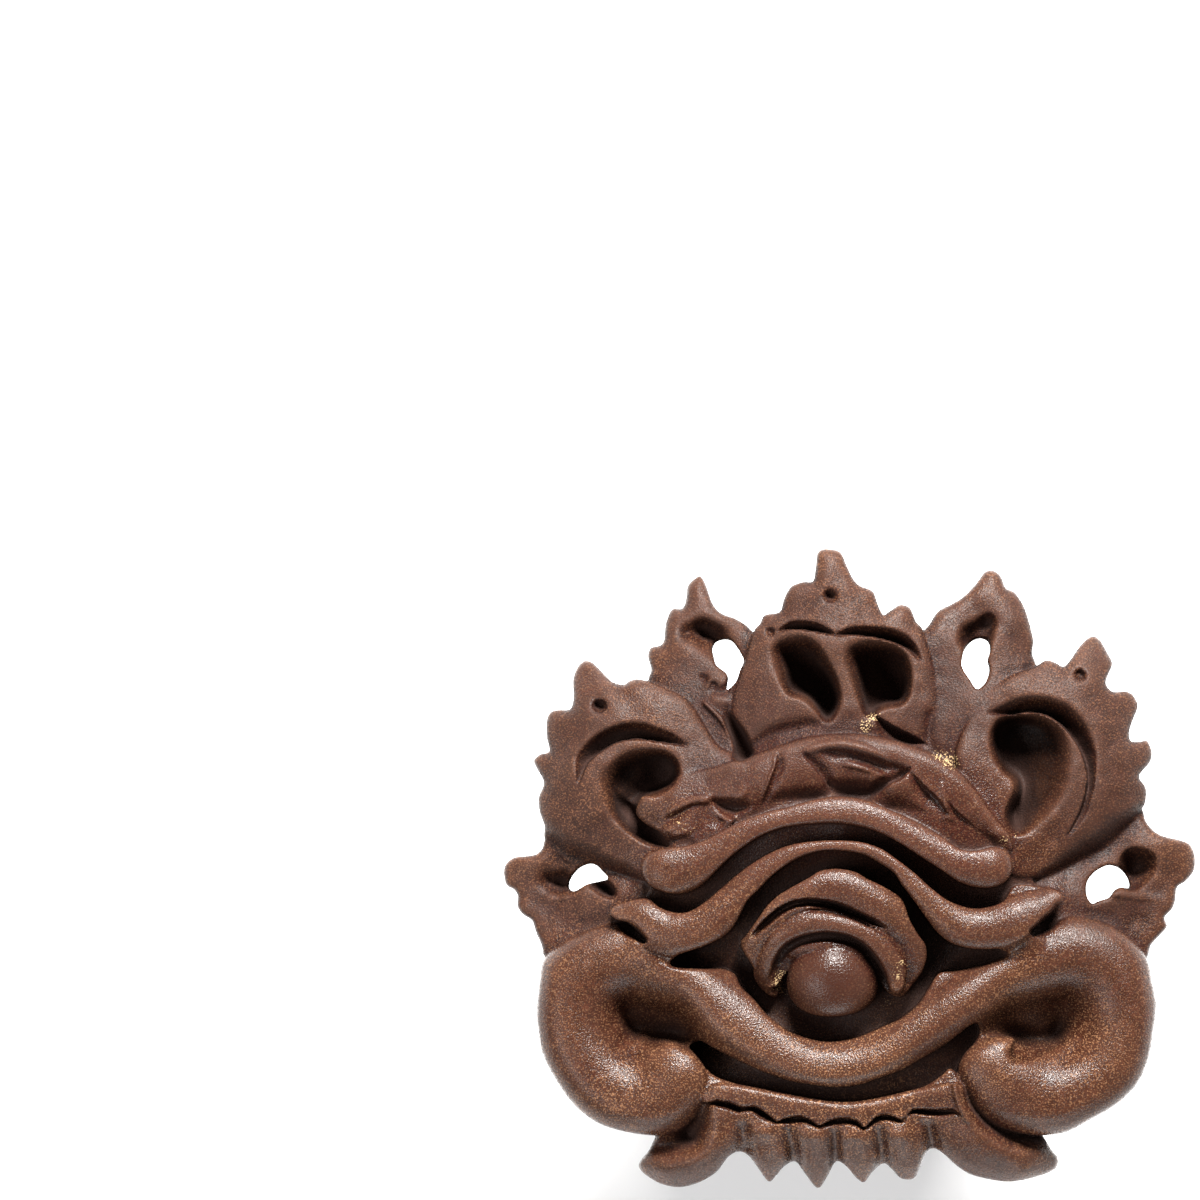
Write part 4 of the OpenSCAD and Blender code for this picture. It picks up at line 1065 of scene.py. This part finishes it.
def barrel_profile():
    """Radius and height of each ring: rear end face, its rounded edge, then the side."""
    rear_r, corner = barrel_radius(REAR_EDGE), 0.36
    rings = [(2.0, 0.0), (4.5, 0.0), (rear_r - 0.62, 0.0), (rear_r - 0.47, 0.004)]
    for a in np.linspace(0, math.pi / 2, 7):
        r = rear_r - corner + corner * math.sin(a) - 0.04 * math.sin(2 * a)
        rings.append((r, REAR_EDGE * (1 - math.cos(a)) + 0.02))
    for z in np.linspace(0.55, BARREL_TOP, 84):
        rings.append((barrel_radius(z), z))
    return rings


def turn_barrel():
    """The turned saddle: rings round the axis, closed by a point at each end."""
    rings = barrel_profile()
    n = BARREL_SIDES
    points = [[0.0, 0.0, 0.0]]
    for r, z in rings:
        points += [[r * math.cos(a), r * math.sin(a), z] for a in np.arange(n) * 2 * math.pi / n]
    points.append([0.0, 0.0, BARREL_TOP])
    points = np.array(points)
    here = np.arange(n)
    beside = (here + 1) % n
    faces = []
    for i in range(len(rings) - 1):
        a, b, c, d = (1 + i * n + here, 1 + i * n + beside,
                      1 + (i + 1) * n + beside, 1 + (i + 1) * n + here)
        faces.append(np.stack([a, b, c, a, c, d], 1).reshape(-1, 3))
    last = 1 + (len(rings) - 1) * n
    for end, a, b in ((0, 1 + beside, 1 + here), (len(points) - 1, last + here, last + beside)):
        faces.append(np.stack([np.full(n, end), a, b], 1))
    ob = new_mesh("plug_barrel", points / METRE, np.concatenate(faces))
    # Painted shade towards the joint, under the overhang of the carved front
    joint = 0.4 + 0.3 * np.clip((points[:, 2] - BARREL_L + 0.5) / 0.5, 0, 1)
    paint(ob.data, near=joint, wide=joint)
    return ob


def new_material(name):
    material = bpy.data.materials.new(name)
    material.use_nodes = True
    tree = material.node_tree
    tree.nodes.clear()
    out = tree.nodes.new("ShaderNodeOutputMaterial")
    shader = tree.nodes.new("ShaderNodeBsdfPrincipled")
    tree.links.new(shader.outputs[0], out.inputs[0])
    return material, tree, shader


def feed(tree, socket, value):
    """Link an output to a socket, or set the socket's own value; colours are RGB."""
    if isinstance(value, bpy.types.NodeSocket):
        tree.links.new(value, socket)
    elif isinstance(value, tuple):
        socket.default_value = (*value, 1)
    else:
        socket.default_value = value


def maths(tree, operation, *values, clamp=False):
    node = tree.nodes.new("ShaderNodeMath")
    node.operation = operation
    node.use_clamp = clamp
    for socket, value in zip(node.inputs, values):
        feed(tree, socket, value)
    return node.outputs[0]


def times(tree, a, b):
    return maths(tree, "MULTIPLY", a, b)


def ramp(tree, value, stops):
    node = tree.nodes.new("ShaderNodeValToRGB")
    elements = node.color_ramp.elements
    while len(elements) < len(stops):
        elements.new(0.5)
    for element, (place, colour) in zip(elements, stops):
        element.position = place
        element.color = (*colour, 1)
    tree.links.new(value, node.inputs[0])
    return node.outputs[0]


def rising(tree, value, low, high):
    """0 up to the low value, 1 from the high one."""
    return ramp(tree, value, [(low, BLACK), (high, WHITE)])


def falling(tree, value, low, high):
    return ramp(tree, value, [(low, WHITE), (high, BLACK)])


def mix(tree, share, first, second, mode="MIX"):
    node = tree.nodes.new("ShaderNodeMix")
    node.data_type = "RGBA"
    node.blend_type = mode
    node.clamp_factor = True
    for i, value in ((0, share), (6, first), (7, second)):
        feed(tree, node.inputs[i], value)
    return node.outputs[2]


def noise(tree, stretch, scale, detail, rough, distortion=0.0):
    """Noise over the object's own space, squeezed by three factors."""
    place = tree.nodes.new("ShaderNodeTexCoord")
    mapping = tree.nodes.new("ShaderNodeMapping")
    mapping.inputs["Scale"].default_value = stretch
    tree.links.new(place.outputs["Object"], mapping.inputs[0])
    node = tree.nodes.new("ShaderNodeTexNoise")
    for key, value in (("Scale", scale), ("Detail", detail), ("Roughness", rough),
                       ("Distortion", distortion), ("Vector", mapping.outputs[0])):
        feed(tree, node.inputs[key], value)
    return node.outputs[0]


def grain(tree, lengthwise, *look):
    """Noise with its scale in 1/mm, and only the lengthwise share of it along the plug."""
    return noise(tree, (METRE, METRE, METRE * lengthwise), *look)


def painted(tree, key):
    node = tree.nodes.new("ShaderNodeAttribute")
    node.attribute_name = key
    return node.outputs["Fac"]


def wood_colour(tree, fibre, dark, fleck, flecks):
    """Brown and tan fibres with a redder middle, dark pores and golden flecks."""
    patch = grain(tree, 0.22, 0.32, 3.0, 0.55, 0.3)
    red = painted(tree, "red")
    warm = times(tree, rising(tree, patch, 0.40, 0.64), 0.75)
    warm = maths(tree, "SUBTRACT", warm, times(tree, red, 0.6), clamp=True)
    colour = mix(tree, warm, ramp(tree, fibre, BROWN_FIBRE), ramp(tree, fibre, TAN_FIBRE))
    colour = mix(tree, times(tree, red, 0.35), colour, RED_WOOD)
    colour = mix(tree, times(tree, dark, 0.85), colour, PORE)
    more = maths(tree, "ADD", maths(tree, "MULTIPLY_ADD", warm, 0.8, 0.50), painted(tree, "gold"))
    light = times(tree, rising(tree, fleck, 0.53, 0.68), more)
    return mix(tree, times(tree, light, flecks), colour, FLECK)


def shaded_worn_colour(tree, colour, fleck, depth):
    """Darker eyeball, dull leaves, painted shade in the scroll hollows, painted shade with some dirt in
    the cuts, dust left in the cuts, and wear on the edges.
    """
    colour = mix(tree, times(tree, painted(tree, "eye"), 0.80), colour, EYEBALL)
    colour = mix(tree, painted(tree, "matte"), colour, DULLED, "MULTIPLY")
    # Painted shade in the scroll hollows
    colour = mix(tree, painted(tree, "stain"), colour, HOLLOW_SHADE_TINT, "MULTIPLY")
    # Painted shade, with some dirt, where much wood is close round a point
    colour = mix(tree, depth, colour, CUT_SHADE_AND_DIRT)
    edge = falling(tree, painted(tree, "near"), 0.10, 0.27)
    colour = mix(tree, times(tree, edge, 0.18), colour, WORN)
    specks = maths(tree, "ADD", times(tree, painted(tree, "dust"), 0.36), fleck)
    return mix(tree, rising(tree, specks, 0.80, 0.90), colour, PALE_DUST)


def wood_roughness(tree, fibre, dark, depth):
    """Oiled wood: pores, dull leaves and the cuts are rougher, the eyeball is smoother."""
    rough = maths(tree, "MULTIPLY_ADD", dark, 0.22, 0.09)
    for value, share in ((fibre, 0.24), (painted(tree, "matte"), 0.29), (painted(tree, "eye"), -0.04),
                         (depth, 0.45), (painted(tree, "stain"), 0.04)):
        rough = maths(tree, "MULTIPLY_ADD", value, share, rough, clamp=True)
    return rough


def bump(tree, height, strength, distance, below=None):
    node = tree.nodes.new("ShaderNodeBump")
    node.inputs["Strength"].default_value = strength
    node.inputs["Distance"].default_value = distance / METRE
    tree.links.new(height, node.inputs["Height"])
    if below is not None:
        tree.links.new(below, node.inputs["Normal"])
    return node.outputs[0]


def wood_bump(tree, pore, fleck, front):
    """Pores over the marks of the tools: facets of a knife, or the rings of a lathe."""
    if front:
        tool = grain(tree, 1.0, 0.9, 1.0, 0.4)
    else:
        tool = noise(tree, (METRE * 0.15, METRE * 0.15, METRE * 3.0), 3.0, 2.0, 0.5)
    pores = maths(tree, "ADD", times(tree, pore, 0.6), times(tree, fleck, 0.6))
    height = maths(tree, "SUBTRACT", 0.55, times(tree, painted(tree, "eye"), 0.10))
    return bump(tree, times(tree, pores, height), 0.9, 0.05, bump(tree, tool, 0.5, 0.06))


def wood(name, front):
    """Oiled reddish brown hardwood. Its pores and fibres run along the plug, so that they are
    dots on the face and dashes along the barrel."""
    material, tree, shader = new_material(name)
    pore = grain(tree, 0.085, 16.0, 1.0, 0.5)
    fibre = grain(tree, 0.05, 3.0, 4.0, 0.7)
    fleck = grain(tree, 0.16, 19.0, 1.0, 0.5)
    dark = falling(tree, pore, 0.34, 0.54)
    # The more wood round a point, the more painted shade and dirt it gets, and the rougher it is
    wide, near = [times(tree, rising(tree, painted(tree, key), 0.36, 0.66), 0.50)
                  for key in ("wide", "near")]
    depth = maths(tree, "ADD", wide, near, clamp=True)
    colour = wood_colour(tree, fibre, dark, fleck, 0.56 if front else 0.22)
    for key, value in (("Base Color", shaded_worn_colour(tree, colour, fleck, depth)),
                       ("Roughness", wood_roughness(tree, fibre, dark, depth)),
                       ("Normal", wood_bump(tree, pore, fleck, front)),
                       ("Specular IOR Level", 0.20)):
        feed(tree, shader.inputs[key], value)
    return material


def paper(name, grey, rough):
    """Almost plain grey."""
    material, tree, shader = new_material(name)
    cloud = noise(tree, (1, 1, 1), 14.0, 3.0, 0.5)
    colour = ramp(tree, cloud, [(0.3, (grey * 0.985,) * 3), (0.7, (grey,) * 3)])
    tree.links.new(colour, shader.inputs["Base Color"])
    shader.inputs["Roughness"].default_value = rough
    return material


def dress(ob, material):
    """Give a piece of the plug its body and its material, and hide the CAD part carved_plug."""
    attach(ob, "root")
    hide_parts("carved_plug")
    ob.data.materials.append(material)


def lay_floor():
    """Square floor in equal cells."""
    line = np.linspace(-FLOOR_HALF, FLOOR_HALF, FLOOR_CELLS + 1)
    x, y = np.meshgrid(line, line)
    points = np.stack([x.ravel(), y.ravel(), np.zeros(x.size)], 1)
    i = np.arange(x.size).reshape(x.shape)
    quads = np.stack([i[:-1, :-1], i[:-1, 1:], i[1:, 1:], i[1:, :-1]], -1).reshape(-1, 4)
    floor = new_mesh("floor", points, quads)
    floor.data.materials.append(paper("floor_paper", 0.90, 0.8))


def light(name, at, aim, size, power, colour):
    lamp = bpy.data.lights.new(name, "AREA")
    lamp.shape = "RECTANGLE"
    lamp.size, lamp.size_y = size
    lamp.energy = power
    lamp.color = colour
    ob = new_object(name, lamp)
    ob.location = at
    ob.rotation_euler = (Vector(aim) - Vector(at)).to_track_quat("-Z", "Y").to_euler()


def light_plug():
    """Soft light, mostly from the crown side."""
    face = (0, 0, FACE_Z)
    light("key", (0.03, 0.168, 0.172), face, (0.10, 0.06), 2.15, (1.0, 0.985, 0.96))
    light("fill", (-0.14, -0.06, 0.19), face, (0.12, 0.12), 0.32, (0.97, 0.985, 1.0))
    light("low", (0.02, -0.22, 0.07), (0, -0.03, 0), (0.20, 0.08), 0.34, (1.0, 1.0, 1.0))


def light_room():
    """A pale room, brighter towards the horizon."""
    world = bpy.data.worlds.new("studio")
    bpy.context.scene.world = world
    world.use_nodes = True
    tree = world.node_tree
    way = tree.nodes.new("ShaderNodeTexCoord")
    parts = tree.nodes.new("ShaderNodeSeparateXYZ")
    tree.links.new(way.outputs["Generated"], parts.inputs[0])
    background = tree.nodes["Background"]
    tree.links.new(ramp(tree, parts.outputs["Z"], SKY), background.inputs[0])
    background.inputs[1].default_value = 0.9
    bpy.context.scene.view_settings.view_transform = "Standard"


def place_camera():
    """Camera on the plug's axis, turned so that the plug sits low and right in the picture."""
    lens = bpy.data.cameras.new("camera")
    lens.sensor_fit = "HORIZONTAL"
    lens.sensor_width = 36.0
    lens.lens = 36.0 * CAMERA_AWAY / (PHOTO_SIZE * PIXEL)
    lens.clip_start, lens.clip_end = 0.01, 10
    camera = new_object("camera", lens)
    at = Vector((0, 0, FACE_Z + CAMERA_AWAY))
    middle = PHOTO_SIZE / 2
    aim = Vector(((middle - PLUG_PIXEL[0]) * PIXEL, (PLUG_PIXEL[1] - middle) * PIXEL, FACE_Z))
    look = (aim - at).normalized()
    right = look.cross(Vector((0, 1, 0))).normalized()
    camera.matrix_world = Matrix((right, right.cross(look), -look)).transposed().to_4x4()
    camera.location = at
    bpy.context.scene.camera = camera


dress(carve_front(), wood("front_wood", True))
dress(turn_barrel(), wood("barrel_wood", False))
lay_floor()
light_plug()
light_room()
place_camera()
